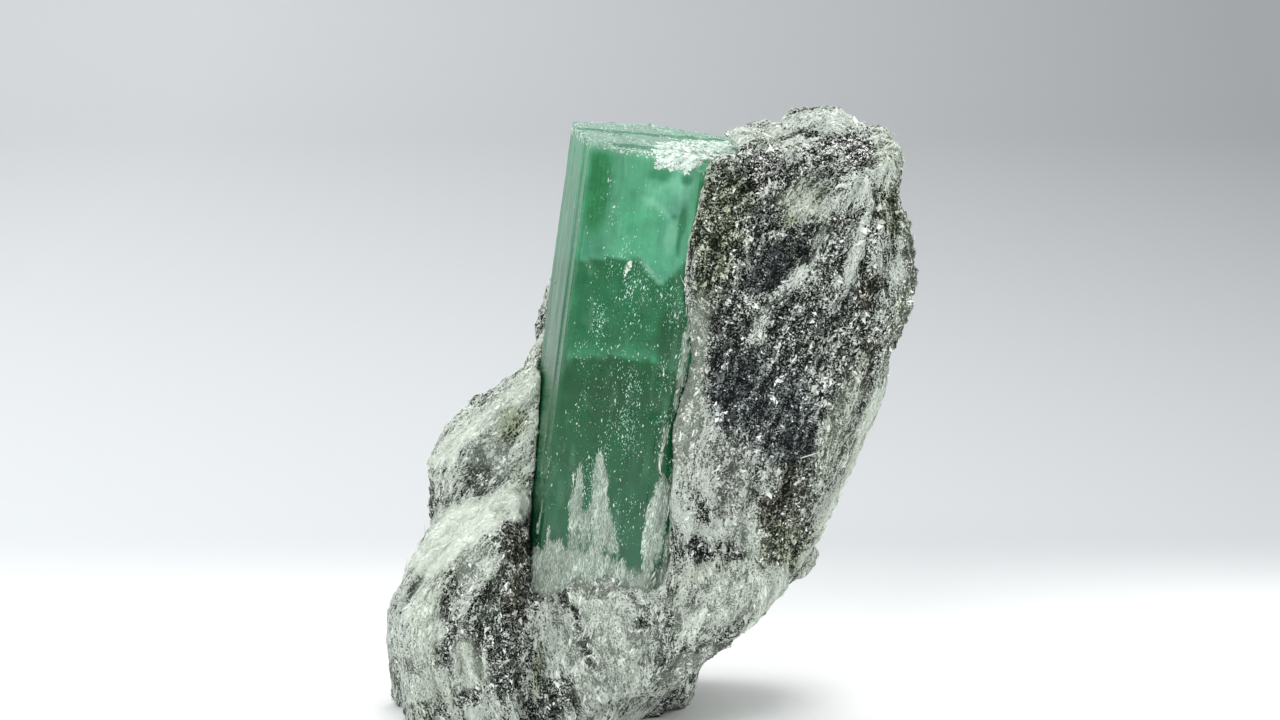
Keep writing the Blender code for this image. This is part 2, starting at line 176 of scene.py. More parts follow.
# Patches of the stone's front, seen from the camera's side: name, place in X and height, radii, tilt in
# degrees, share of pale minerals, and tint.
PATCHES = [
    ("dark ground of the slab", (8.4, 24.0), (4.6, 8.5), -10, 0.4, "grey"),
    ("pale crest", (9.8, 34.4), (2.9, 0.6), 0, 0.88, "white"),
    ("dark band under the crest", (10.9, 32.7), (2.3, 0.9), -4, 0.18, "sharp"),
    ("grey flakes by the crystal", (4.1, 33.3), (1.3, 0.7), 0, 0.95, "white"),
    ("dark left shoulder", (5.9, 31.5), (2.0, 1.2), 5, 0.18, "sharp"),
    ("pale rounded right shoulder", (13.9, 32.7), (1.3, 1.3), -35, 0.66, "cream"),
    ("olive-black strip by the crystal", (4.0, 28.6), (1.8, 3.2), -8, 0.22, "olive"),
    ("lower end of the strip", (3.5, 24.9), (1.3, 1.8), -8, 0.26, "olive"),
    ("creamy bump", (8.9, 29.6), (1.7, 1.5), 15, 0.55, "cream"),
    ("olive tinge on the bump", (7.9, 28.5), (0.6, 0.6), 0, 0.75, "olive"),
    ("grey slope left of the bump", (6.5, 28.5), (1.0, 1.2), 0, 0.3, "grey"),
    ("ridge right of the bump", (11.6, 30.1), (2.2, 0.6), 26, 0.76, "white"),
    ("hollow below the bump", (8.9, 27.5), (1.3, 1.0), 0, 0.06, "grey"),
    ("blue-black hollow", (6.8, 25.8), (1.7, 1.0), 50, 0.08, "blue"),
    ("black hollow", (10.1, 26.2), (0.6, 1.2), 75, 0.12, "grey"),
    ("top of the long pale streak", (9.5, 27.3), (0.4, 1.2), -15, 0.78, "white"),
    ("middle of the long pale streak", (7.9, 24.7), (2.1, 0.5), 49, 0.7, "white"),
    ("foot of the long pale streak", (5.8, 22.4), (1.3, 0.6), 49, 0.66, "white"),
    ("pale streak right", (11.5, 26.2), (0.5, 1.7), -8, 0.76, "white"),
    ("pale patch far right", (13.7, 25.6), (0.6, 0.5), 0, 0.8, "white"),
    ("dark olive patch far right", (13.7, 29.1), (0.8, 1.6), -5, 0.26, "olive"),
    ("brown-black hollow right", (12.4, 24.4), (0.6, 1.3), -8, 0.12, "brown"),
    ("small dark spot in the ridge", (12.9, 30.4), (0.3, 0.3), 0, 0.2, "olive"),
    ("dark olive patch below", (13.9, 22.2), (0.7, 1.3), -12, 0.3, "olive"),
    ("brown stripe right", (12.1, 20.5), (0.5, 2.1), -12, 0.26, "brown"),
    ("black granular area", (4.3, 22.2), (1.5, 2.7), -8, 0.2, "grey"),
    ("grey middle", (8.2, 22.9), (1.7, 1.9), -25, 0.24, "grey"),
    ("dark speckled area", (5.4, 18.6), (2.3, 2.6), -20, 0.23, "blue"),
    ("blue-grey smooth area", (7.7, 17.1), (1.5, 2.8), -12, 0.28, "blue"),
    ("dark core of the smooth area", (8.5, 15.4), (0.9, 1.3), -10, 0.16, "blue"),
    ("brown area", (8.1, 13.4), (0.9, 1.3), -12, 0.34, "brown"),
    ("grey-brown area", (7.5, 11.6), (1.5, 1.3), -10, 0.3, "brown"),
    ("olive-green corner", (7.8, 9.5), (1.8, 1.9), -20, 0.24, "olive"),
    ("pale streaks right of the middle", (10.7, 16.7), (1.0, 3.7), -17, 0.52, "cream"),
    ("dark streak between them", (12.3, 22.2), (0.3, 1.7), -14, 0.25, "grey"),
    ("pale rim top right", (14.6, 28.9), (0.5, 3.6), 4, 0.24, "cream"),
    ("pale rim middle right", (14.4, 22.8), (0.7, 3.3), -14, 0.36, "cream"),
    ("pale rim lower right", (12.4, 15.8), (0.7, 4.0), -23, 0.7, "smooth"),
    ("pale rim at the bottom", (9.8, 9.7), (0.6, 2.9), -30, 0.8, "smooth"),
    ("pale strip beside the crystal", (2.4, 21.1), (0.7, 3.4), -7, 0.34, "smooth"),
    ("lower part of the strip", (1.7, 16.4), (1.0, 3.0), -7, 0.33, "smooth"),
    ("pinkish-grey area", (4.4, 13.5), (1.4, 2.9), 14, 0.46, "pink"),
    ("its lower streaks", (5.5, 10.3), (0.8, 1.7), 24, 0.5, "silk"),
    ("dark spot beside the right streak", (2.6, 11.6), (0.5, 1.0), -20, 0.5, "grey"),
    ("black hole", (2.8, 9.3), (1.0, 0.8), -25, 0.1, "grey"),
    ("dark spots by the olive corner", (4.7, 9.3), (1.0, 0.5), -25, 0.26, "grey"),
    ("pale base", (4.0, 6.3), (3.6, 1.5), 22, 0.66, "silk"),
    ("bluish flakes on the base", (2.7, 6.4), (0.6, 0.8), 10, 0.66, "pink"),
    ("pale base end", (7.1, 7.1), (1.4, 1.4), 30, 0.74, "silk"),
    ("pale streaks of the foot", (-3.0, 4.2), (3.0, 3.7), 20, 0.62, "silk"),
    ("dark crack", (-4.8, 5.8), (0.22, 2.2), 30, 0.1, "grey"),
    ("second crack", (-3.6, 2.9), (0.2, 1.6), 30, 0.14, "grey"),
    ("grey-green streaks under the crystal", (-2.9, 7.4), (1.5, 0.9), 10, 0.4, "silk"),
    ("dark spot of the foot", (-0.5, 4.9), (0.5, 0.4), 0, 0.14, "grey"),
    ("dark speckles right of it", (0.9, 5.4), (0.6, 0.5), 0, 0.4, "grey"),
    ("sparkling dark patch", (-5.3, 1.0), (1.0, 1.0), 0, 0.24, "grey"),
    ("olive streak", (-6.7, 2.0), (0.3, 1.6), 0, 0.62, "olive"),
    ("shaded underside", (2.2, 2.6), (2.4, 0.6), 32, 0.34, "silk"),
    ("pale lower middle", (-2.3, 1.3), (2.1, 1.0), 10, 0.64, "silk"),
    ("upper valley", (-8.0, 6.5), (0.7, 1.9), 0, 0.34, "brown"),
    ("lower valley", (-8.6, 3.0), (1.2, 2.9), 2, 0.28, "grey"),
    ("bright flakes of the valley", (-9.5, 5.8), (0.5, 0.6), 0, 0.55, "white"),
    ("white ridge left", (-12.6, 9.1), (1.5, 1.2), 45, 1.3, "smooth"),
    ("white ridge middle", (-10.5, 10.6), (2.3, 1.0), 38, 1.3, "smooth"),
    ("white ridge top", (-7.9, 12.2), (1.1, 0.9), 50, 1.15, "smooth"),
    ("green-brown hollow under the ridge", (-7.8, 9.4), (0.8, 1.4), 5, 0.2, "brown"),
    ("grey patch", (-10.0, 8.7), (1.4, 1.0), 10, 0.56, "silk"),
    ("darker grey core", (-10.5, 7.8), (0.6, 0.8), 0, 0.32, "silk"),
    ("smooth rim", (-13.2, 4.8), (0.9, 3.3), -4, 0.6, "smooth"),
    ("dark streak", (-11.8, 4.2), (0.5, 1.4), 10, 0.18, "grey"),
    ("pale fan", (-10.6, 2.6), (1.0, 1.7), 12, 0.62, "smooth"),
    ("dark base of the fan", (-10.6, 0.6), (0.9, 0.6), 0, 0.26, "grey"),
    ("pale left foot", (-12.9, 1.3), (1.3, 1.0), 0, 0.66, "smooth"),
    ("cream upper slope", (-8.3, 18.2), (1.5, 2.9), -40, 0.76, "smooth"),
    ("cream rim", (-11.6, 15.8), (0.8, 2.6), -38, 1.02, "smooth"),
    ("olive shade beside the crystal", (-8.0, 16.7), (0.9, 1.2), -10, 0.66, "olive"),
    ("dark streaks", (-9.2, 14.6), (1.3, 1.5), -10, 0.42, "silk"),
    ("core of the dark streaks", (-9.9, 13.6), (0.7, 0.8), -10, 0.3, "white"),
    ("dark foot of the lobe", (-11.8, 12.2), (0.7, 0.5), 10, 0.42, "white"),
    ("second ridge", (-10.9, 11.4), (2.0, 0.8), 36, 1.12, "smooth"),
    ("pale edge by the crystal", (-7.5, 14.1), (0.5, 1.6), 0, 0.66, "cream"),
]
# The dark and the pale minerals of each tint, as colours from 0 to 255, and how unevenly they mix.
TINTS = {
    "grey": ((9, 14, 11), (216, 224, 215), 1.15),
    "sharp": ((5, 9, 6), (238, 244, 235), 1.7),
    "white": ((60, 68, 60), (224, 232, 223), 0.86),
    "silk": ((122, 131, 120), (218, 226, 216), 0.95),
    "cream": ((76, 84, 70), (214, 222, 209), 0.92),
    "smooth": ((122, 131, 118), (222, 230, 219), 0.5),
    "olive": ((13, 21, 9), (190, 200, 174), 1.25),
    "brown": ((19, 21, 14), (184, 186, 170), 1.0),
    "blue": ((14, 20, 21), (176, 186, 184), 0.9),
    "pink": ((74, 80, 73), (214, 220, 211), 0.85),
}
# Which way the grain runs: a place in X and Z, and the lean to the right of upright, in degrees.
GRAIN = [
    ((5.0, 33.0), 78), ((10.0, 34.0), 80), ((14.2, 29.0), 5), ((13.6, 22.0), 15), ((11.0, 16.0), 18),
    ((8.0, 24.0), 38), ((6.0, 20.0), 28), ((3.0, 27.0), 8), ((2.6, 20.0), 7), ((5.0, 15.5), 8),
    ((8.0, 15.0), 13), ((4.4, 12.0), -12), ((5.8, 9.2), -24), ((8.0, 9.5), 15), ((9.8, 10.5), 30),
    ((3.0, 6.4), 30), ((6.0, 6.6), 52), ((-0.5, 5.0), -24), ((1.8, 3.0), 42), ((0.0, 1.2), 60),
    ((-3.0, 4.0), -28), ((-5.0, 6.5), -27), ((-4.0, 1.5), -24), ((-6.6, 4.0), -12), ((-8.6, 4.0), -8),
    ((-10.6, 3.0), -20), ((-13.2, 5.0), -4), ((-12.4, 9.0), 42), ((-10.0, 10.6), 52), ((-8.0, 12.2), 46),
    ((-7.8, 9.4), 34), ((-10.0, 15.0), 38), ((-8.0, 18.4), 34), ((-12.2, 13.0), 10), ((10.0, 29.5), 20),
]
GRAIN_REACH = 2.0
GRAIN_ELSEWHERE = 14
PALE_RANGE = 0.78  # how far the shares of pale minerals are drawn in towards a half

# Two healed fractures cross the crystal, seen from the front: their lines in X and height. The green
# differs above, between and below them. The tones are from 0 to 255, at heights.
UPPER_FRACTURE = [(-5.4, 26.2), (-0.9, 26.4), (0.5, 24.8), (1.9, 26.2)]
LOWER_FRACTURE = [(-5.8, 20.5), (-2.0, 20.7), (-0.2, 20.5), (1.6, 19.6)]
TOP_TONES = [(33.2, (112, 196, 156)), (30.0, (106, 192, 152)), (26.5, (110, 200, 160))]
MIDDLE_TONES = [(26.5, (34, 134, 80)), (23.5, (40, 142, 90)), (21.6, (36, 136, 84)), (20.6, (80, 176, 128))]
LOW_TONES = [(20.6, (3, 108, 54)), (17.0, (4, 112, 60)), (12.0, (16, 118, 72)), (4.0, (46, 130, 94))]
CRYSTAL_ZONES = [
    ("deep green strip", (-3.15, 30.4), (0.85, 2.9), -6, (30, 150, 82)),
    ("blue-green below it", (-3.6, 26.9), (0.9, 0.6), 0, (86, 184, 142)),
    ("milky cloud", (0.85, 29.9), (1.3, 1.5), 10, (132, 218, 184)),
    ("dark space in the cloud", (0.5, 31.2), (0.8, 0.4), 0, (60, 160, 116)),
    ("mint corner", (1.7, 30.6), (0.7, 0.9), -10, (146, 232, 194)),
    ("mint middle", (-0.6, 28.2), (1.6, 1.4), 0, (100, 198, 154)),
    ("mint wedge", (0.5, 26.4), (1.3, 0.9), -15, (112, 216, 170)),
    ("bright line over the wedge's edge", (-0.1, 25.7), (1.0, 0.14), -48, (170, 238, 206)),
    ("light strip at the right edge", (2.3, 27.6), (0.26, 1.5), -8, (154, 240, 200)),
    ("dark mark", (1.15, 28.95), (0.42, 0.12), -28, (48, 136, 94)),
    ("dark mark beside it", (1.8, 28.5), (0.22, 1.0), -8, (44, 136, 90)),
    ("dark mark below", (1.55, 27.2), (0.16, 0.7), -6, (50, 142, 98)),
    ("dark mark by the crust", (1.95, 30.9), (0.35, 0.35), 0, (48, 138, 94)),
    ("pale feature between them", (1.1, 27.6), (0.34, 1.0), -14, (146, 228, 190)),
    ("wisp in the cloud", (0.3, 29.4), (0.9, 0.22), -32, (160, 236, 200)),
    ("wisp above it", (0.9, 30.6), (0.8, 0.2), 24, (150, 230, 194)),
    ("thin line below the upper fracture", (-2.6, 26.25), (2.2, 0.07), 2, (40, 112, 76)),
    ("dark right side", (1.0, 21.9), (0.7, 2.2), -6, (2, 102, 52)),
    ("dark middle", (-2.2, 18.4), (1.6, 1.6), 0, (2, 100, 50)),
]
# The left face's own green, mostly made paler as a painted reflection of the bright surroundings.
LEFT_FACE_GREEN_AND_SHEEN = [(33.0, (82, 188, 136)), (20.0, (30, 128, 76)), (8.0, (30, 112, 72))]
VEIL_TONE = (150, 220, 180)
END_TONE = (198, 234, 216)
GROWTH_TONE = (228, 238, 228)

# What grows on the crystal, seen from the front: place in X and height, radii, tilt, and how thickly.
STREAKS = [
    ("left finger", (-4.4, 12.2), (0.4, 2.3), -5, 0.85),
    ("middle finger", (-3.0, 11.8), (0.55, 2.7), -4, 0.95),
    ("tip of the middle finger", (-3.0, 14.2), (0.26, 0.9), -10, 0.9),
    ("between the fingers", (-3.7, 9.8), (1.2, 1.9), 0, 0.62),
    ("right side of the middle finger", (-2.5, 10.4), (0.45, 2.0), 12, 0.75),
    ("right streak", (0.2, 10.6), (0.62, 3.7), -8, 0.9),
    ("thin streak above it", (0.65, 15.2), (0.24, 1.9), -8, 0.55),
    ("foot of the fingers", (-3.6, 8.0), (2.3, 1.4), -8, 1.0),
    ("left corner", (-5.9, 8.6), (1.2, 1.3), 0, 0.85),
    ("left corner above", (-6.2, 10.6), (0.4, 2.0), 0, 0.4),
    ("low edge right", (-1.2, 6.9), (1.4, 0.5), 0, 0.7),
    ("low edge far right", (0.6, 7.2), (0.8, 1.0), 0, 0.75),
    ("stone's edge", (1.25, 12.0), (0.35, 4.4), -6, 0.6),
    ("stone's edge above", (1.85, 21.3), (0.22, 4.6), -6.6, 0.75),
]
CRUST = [
    ("crust on the rim", (2.9, 32.6), (2.6, 0.6), 2, 1.0),
    ("its left end", (0.9, 32.6), (0.9, 0.55), 0, 0.9),
    ("its lower lumps", (1.5, 31.9), (1.4, 0.5), 0, 1.0),
    ("its right end", (4.6, 32.4), (0.8, 0.6), 0, 1.0),
    ("white grain", (-1.3, 25.95), (0.2, 0.34), -20, 1.0),
]
# Below this line, seen from the front, mica hides the crystal's foot.
FOOT_LINE = [(-7.4, 9.3), (-6.4, 8.8), (-4.0, 8.1), (-0.6, 7.9), (0.4, 8.2), (1.6, 9.4)]
SPECK_BANDS = [
    ("left band", (-1.9, 21.0), (2.2, 6.4), -7, 0.9),
    ("right band", (1.0, 21.0), (0.9, 5.4), -7, 0.7),
    ("lower band", (-2.2, 14.5), (3.4, 4.4), -7, 0.6),
    ("left side", (-4.2, 17.5), (1.0, 6.0), -7, 0.4),
    ("upper specks", (-1.0, 28.5), (3.0, 3.5), 0, 0.10),
    ("streak in the green", (-2.2, 28.8), (0.14, 1.3), -29, 0.8),
]
# The flakes that grow on it: which growth, how many, their middle length, their width for their length,
# how far they stray from its axis in degrees, how high they lie, and their darkest and palest tones.
GROWTH_STYLES = [
    ("streaks", 8000, 0.19, 0.24, 16, 0.05, (146, 172, 152), (226, 236, 226)),
    ("streaks", 2000, 0.36, 0.1, 8, 0.07, (160, 184, 166), (236, 244, 236)),
    ("foot", 6000, 0.21, 0.24, 20, 0.22, (152, 168, 152), (228, 235, 226)),
    ("crust", 8000, 0.17, 0.7, 70, 0.06, (196, 218, 204), (242, 252, 246)),
    ("specks", 2700, 0.055, 0.5, 22, 0.03, (60, 150, 110), (160, 212, 190)),
    ("specks", 1600, 0.09, 0.36, 14, 0.03, (146, 200, 178), (236, 250, 245)),
    ("specks", 240, 0.14, 0.4, 18, 0.04, (176, 212, 194), (244, 252, 249)),
    ("frost", 3500, 0.12, 0.4, 80, 0.05, (170, 204, 186), (222, 238, 230)),
]


# ---------- numbers


class Noise:
    """Smooth random values in space, about -1 to 1, the same on every run."""

    def __init__(self, seed):
        draw = np.random.default_rng(seed)
        self.order = np.tile(draw.permutation(256), 2).astype(np.int32)
        slopes = draw.normal(size=(256, 3))
        self.slopes = (slopes / np.linalg.norm(slopes, axis=1)[:, None]).astype(np.float32)

    def __call__(self, points, cell):
        place = np.asarray(points, np.float32) / np.float32(cell)
        low = np.floor(place)
        part = place - low
        low = low.astype(np.int32) & 255
        ease = part**3 * (part * (part * 6 - 15) + 10)
        total = np.zeros(len(place), np.float32)
        for corner in range(8):
            step = np.array([corner >> 2 & 1, corner >> 1 & 1, corner & 1])
            index = low + step
            mixed = self.order[index[:, 0] & 255]
            mixed = self.order[(mixed + index[:, 1]) & 255]
            mixed = self.order[(mixed + index[:, 2]) & 255]
            dot = np.einsum("ij,ij->i", self.slopes[mixed], part - step.astype(np.float32))
            total += dot * np.prod(np.where(step, ease, 1 - ease), axis=1)
        return 1.7 * total

    def layers(self, points, cell, count):
        """Several noises, each half the size and half the strength of the one before."""
        total = 0.0
        for layer in range(count):
            total = total + 0.5**layer * self(points + 17.3 * layer, cell / 2**layer)
        return total

    def pair(self, points, shift, cell):
        """Two noises side by side, which move a point across and up."""
        return np.stack([self.layers(points + shift * k, cell, 3) for k in (1, 2)], axis=1)


def smooth(value, low, high):
    """0 below the low value, 1 above the high one, and a smooth rise between them."""
    share = np.clip((value - low) / (high - low), 0.0, 1.0)
    return share * share * (3 - 2 * share)


def mix(a, b, share):
    return a + (b - a) * share


def unit(vectors):
    return vectors / np.maximum(np.linalg.norm(vectors, axis=-1, keepdims=True), 1e-9)


def across_face(vectors, normals):
    """What is left of vectors when the part along the normals is taken away."""
    return vectors - normals * (vectors * normals).sum(axis=1)[:, None]


def turned(vectors, axis, angle):
    """Vectors turned about axes that are square to them."""
    return vectors * np.cos(angle)[:, None] + np.cross(axis, vectors) * np.sin(angle)[:, None]


def strayed(direction, normal, spreads, draw):
    """Lengthwise and crosswise directions on a face, strayed at random.

    The spreads are in degrees: on the face, of the crosswise tilt, and of the lengthwise one.
    """
    on_face, crosswise, lengthwise = spreads
    along = unit(across_face(direction, normal) + 1e-3)
    along = turned(along, normal, np.radians(on_face) * draw.normal(size=len(normal)))
    across = unit(np.cross(normal, along))
    across = turned(across, along, np.radians(crosswise) * draw.normal(size=len(normal)))
    along = turned(along, across, np.radians(lengthwise) * draw.normal(size=len(normal)))
    return along, across


def linear(colour):
    """A colour from 0 to 255, as on a screen, turned into light."""
    share = np.asarray(colour, float) / 255
    return np.where(share <= 0.04045, share / 12.92, ((share + 0.055) / 1.055) ** 2.4)


# ---------- coordinates


def crystal_matrix():
    """From the crystal's own frame, its axis on +Z and its end face at zero, to the part's frame."""
    lean = Matrix.Rotation(CRYSTAL_LEAN, 4, "Y")
    turn = Matrix.Rotation(CRYSTAL_TURN, 4, "Z")
    return np.array(Matrix.Translation(Vector(CRYSTAL_TOP)) @ lean @ turn)


FROM_CRYSTAL = crystal_matrix()
TO_CRYSTAL = np.linalg.inv(FROM_CRYSTAL)


def in_crystal(points):
    return points @ TO_CRYSTAL[:3, :3].T + TO_CRYSTAL[:3, 3]


def from_crystal(points):
    return points @ FROM_CRYSTAL[:3, :3].T + FROM_CRYSTAL[:3, 3]


def face_normals():
    """The outward normals of the prism's six faces in its own frame. The first is the front face."""
    angles = np.radians(60 * np.arange(6) - 90)
    return np.stack([np.cos(angles), np.sin(angles), np.zeros(6)], axis=1)


def crystal_distance(points):
    """How far points are outside the crystal, the nearest face's normal, and the height over its end."""
    local = in_crystal(points)
    outside = np.concatenate([local @ face_normals().T - FACE_DISTANCE, local[:, 2:]], axis=1)
    every_normal = np.concatenate([face_normals(), [[0, 0, 1.0]]])
    normal = every_normal[outside.argmax(axis=1)] @ FROM_CRYSTAL[:3, :3].T
    return outside.max(axis=1), normal, local[:, 2]


def from_front(points):
    """Where points show from the front: X before SHIFT, and height, on an upright plane."""
    depth = points[:, 1] - VIEW_TARGET[1]
    size = 1 + depth / VIEW_DISTANCE
    across = VIEW_TARGET[0] + (points[:, 0] - VIEW_TARGET[0]) / size
    raised = points[:, 2] + depth * math.tan(VIEW_ELEVATION)
    height = VIEW_TARGET[2] + (raised - VIEW_TARGET[2]) / size
    return np.stack([across - SHIFT[0] + FRONT_OFFSET, height], axis=1)


def patch_weight(seen, centre, radii, tilt):
    """1 in the middle of a tilted ellipse, a half on its edge, 0 further out."""
    angle = math.radians(tilt)
    away = seen - np.array(centre)
    along = (away[:, 0] * math.cos(angle) + away[:, 1] * math.sin(angle)) / radii[0]
    across = (-away[:, 0] * math.sin(angle) + away[:, 1] * math.cos(angle)) / radii[1]
    return 1 - smooth(np.hypot(along, across), 0.55, 1.35)


def grain(points):
    """Which way the stone's fibres run at each point."""
    seen = points[:, [0, 2]]
    lean = math.radians(GRAIN_ELSEWHERE)
    total = np.array([[math.sin(lean), math.cos(lean)]]) * 0.02
    for place, degrees in GRAIN:
        lean = math.radians(degrees)
        nearness = np.exp(-((seen - np.array(place)) ** 2).sum(axis=1) / (2 * GRAIN_REACH**2))
        total = total + nearness[:, None] * np.array([[math.sin(lean), math.cos(lean)]])
    total = unit(total)
    return np.stack([total[:, 0], np.zeros(len(points)), total[:, 1]], axis=1)


def fibres(noise, points, direction, cell, reach, steps=9):
    """Noise drawn out along a direction, so that it runs in threads."""
    total = 0.0
    shares = np.linspace(-1, 1, steps)
    weights = np.cos(shares * math.pi / 2 * 0.9)
    for share, weight in zip(shares, weights):
        total = total + weight * noise(points + direction * (share * reach), cell)
    return total / np.sqrt((weights**2).sum()) / 1.2


# ---------- mesh making


STORED_AS = {
    "VALUE": ("FLOAT", "value"),
    "VECTOR": ("FLOAT_VECTOR", "vector"),
    "COLOR": ("FLOAT_COLOR", "color"),
}


def new_piece(name, points, triangles, material, tones=None, smoothed=False):
    """An object from points in millimetres and triangles, with a tone for each point."""
    mesh = bpy.data.meshes.new(name)
    mesh.vertices.add(len(points))
    mesh.vertices.foreach_set("co", (np.asarray(points) * MM).astype(np.float32).ravel())
    mesh.loops.add(3 * len(triangles))
    mesh.loops.foreach_set("vertex_index", np.asarray(triangles, np.int32).ravel())
    mesh.polygons.add(len(triangles))
    mesh.polygons.foreach_set("loop_start", np.arange(0, 3 * len(triangles), 3, dtype=np.int32))
    mesh.update(calc_edges=True)
    mesh.polygons.foreach_set("use_smooth", np.full(len(triangles), smoothed))
    mesh.materials.append(material)
    piece = bpy.data.objects.new(name, mesh)
    if tones is not None:
        keep(piece, "tone", tones, "COLOR")
    bpy.context.scene.collection.objects.link(piece)
    return piece


def keep(piece, name, values, kind="VALUE"):
    """Keeps a value, a vector or a colour at each point of a piece, for its material to read."""
    stored, field = STORED_AS[kind]
    if kind == "COLOR":
        values = np.concatenate([values, np.ones((len(values), 1))], axis=1)
    layer = piece.data.attributes.new(name, stored, "POINT")
    layer.data.foreach_set(field, values.astype(np.float32).ravel())


def dress(piece, node=None):
    """Hangs a piece on the root body, and hides the node that it stands in for, if one is given."""
    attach(piece, "root")
    if node:
        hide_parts(node)


def arrays_of(mesh):
    """A mesh's points in millimetres, and its triangles."""
    points = np.empty(3 * len(mesh.vertices), np.float32)
    mesh.vertices.foreach_get("co", points)
    mesh.calc_loop_triangles()
    triangles = np.empty(3 * len(mesh.loop_triangles), np.int32)
    mesh.loop_triangles.foreach_get("vertices", triangles)
    return points.reshape(-1, 3).astype(float) / MM, triangles.reshape(-1, 3)


def face_vectors(points, triangles):
    """A vector square to each triangle, as long as twice its area."""
    corners = points[triangles]
    return np.cross(corners[:, 1] - corners[:, 0], corners[:, 2] - corners[:, 0])


def normals_of(points, triangles):
    """The normal at each point of a mesh."""
    faces = face_vectors(points, triangles)
    total = np.zeros_like(points)
    for corner in range(3):
        for axis in range(3):
            total[:, axis] += np.bincount(triangles[:, corner], faces[:, axis], len(points))
    return unit(total)


def remeshed(node, voxel):
    """The node's solid as an even, fine mesh."""
    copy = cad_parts[node].copy()
    copy.data = copy.data.copy()
    copy.parent = None
    copy.matrix_world = Matrix.Identity(4)
    bpy.context.scene.collection.objects.link(copy)
    modifier = copy.modifiers.new("Remesh", "REMESH")
    modifier.mode = "VOXEL"
    modifier.voxel_size = voxel * MM
    bpy.context.view_layer.update()
    mesh = copy.evaluated_get(bpy.context.evaluated_depsgraph_get()).to_mesh()
    points, triangles = arrays_of(mesh)
    bpy.data.objects.remove(copy, do_unlink=True)
    return points, triangles


def inside_box(points):
    """Points held in the solids' box and a little more, and above the floor."""
    low, high = (np.array(corner) / MM for corner in CAD_BOX)
    room = (high - low) * ROOM
    floor = np.array([0, 0, 1.0])
    return np.clip(points, low - room * (1 - floor), high + room)


def scatter(points, triangles, normals, weight, count, draw):
    """Random places on a mesh, and the normals there."""
    chance = np.linalg.norm(face_vectors(points, triangles), axis=1) * weight[triangles].mean(axis=1)
    chosen = triangles[draw.choice(len(triangles), size=count, p=chance / chance.sum())]
    a, b = draw.random(count), draw.random(count)
    a, b = np.where(a + b > 1, 1 - a, a), np.where(a + b > 1, 1 - b, b)
    shares = np.stack([1 - a - b, a, b], axis=1)[:, :, None]
    return (points[chosen] * shares).sum(axis=1), unit((normals[chosen] * shares).sum(axis=1))


def flake_shapes(centres, along, across, length, width):
    """Thin closed slivers of four triangles each, with a ridge along the top."""
    thickness = 0.16 * width + 0.01
    half = along * (length / 2)[:, None]
    side = across * (width / 2)[:, None]
    down = np.cross(along, across) * thickness[:, None]
    ends = [centres - half, centres + half, centres + side - down, centres - side - down]
    pattern = np.array([[0, 1, 2], [1, 0, 3], [0, 2, 3], [1, 3, 2]])
    triangles = (4 * np.arange(len(centres)))[:, None, None] + pattern[None]
    return inside_box(np.stack(ends, axis=1).reshape(-1, 3)), triangles.reshape(-1, 3)


# ---------- materials


def new_material(name):
    """An empty material, and its node tree."""
    material = bpy.data.materials.new(name)
    material.use_nodes = True
    material.node_tree.nodes.clear()
    return material, material.node_tree


def add(tree, kind, output=0, **inputs):
    """One output of a new node. Names that start with set_ are settings, and the others are inputs.

    Where a name won't do, n and a number stand for an input. It takes a value or a node's output.
    """
    node = tree.nodes.new("ShaderNode" + kind)
    for name in [name for name in inputs if name.startswith("set_")]:
        setattr(node, name[4:], inputs.pop(name))
    for name, value in inputs.items():
        numbered = name[0] == "n" and name[1:].isdigit()
        socket = node.inputs[int(name[1:]) if numbered else name.replace("_", " ")]
        if isinstance(value, bpy.types.NodeSocket):
            tree.links.new(value, socket)
        else:
            socket.default_value = value
    return node.outputs[output] if node.outputs else None


def kept(tree, name, output="Color"):
    """What a mesh keeps at its points under a name."""
    return add(tree, "Attribute", output, set_attribute_name=name)


def noise_at(tree, place, scale, detail, roughness):
    """Noise in cells of one over the scale."""
    return add(tree, "TexNoise", "Fac", Vector=place, Scale=scale, Detail=detail, Roughness=roughness)


def maths(tree, operation, *values):
    """The result of an operation on two or three values."""
    return add(tree, "Math", set_operation=operation, **{f"n{k}": value for k, value in enumerate(values)})


def moved_along(tree, place, direction, distance):
    """A place moved some way along a direction."""
    step = add(tree, "VectorMath", set_operation="SCALE", n0=direction, Scale=distance)
    return add(tree, "VectorMath", set_operation="ADD", n0=place, n1=step)


def brightened(tree, tone, level):
    return add(tree, "VectorMath", set_operation="SCALE", n0=tone, Scale=level)


def ranged(tree, value, low, high, to_low=0.0, to_high=1.0, **settings):
    """A value stretched from one range to another, and held in it."""
    ends = {"From_Min": low, "From_Max": high, "To_Min": to_low, "To_Max": to_high}
    return add(tree, "MapRange", Value=value, **ends, **settings)


def mixed_colour(tree, share, first, second):
    return add(tree, "Mix", 2, set_data_type="RGBA", Factor=share, n6=first, n7=second)


def finish_material(tree, volume=None, **inputs):
    """The surface, and what fills it."""
    shader = add(tree, "BsdfPrincipled", **inputs)
    filling = {"Volume": volume} if volume else {}
    add(tree, "OutputMaterial", Surface=shader, **filling)


def noise_along_grain(tree, place, cell, reach, count):
    """Noise in cells of the given size in metres, drawn out along the grain."""
    direction = kept(tree, "grain", "Vector")
    total = 0.0
    for index in range(count):
        shift = reach * (2 * index / (count - 1) - 1)
        sample = noise_at(tree, moved_along(tree, place, direction, shift), 1 / cell, 2.0, 0.6)
        total = maths(tree, "ADD", total, sample)
    centred = maths(tree, "SUBTRACT", total, 0.5 * count)
    return maths(tree, "MULTIPLY", centred, 4.0 / math.sqrt(count))


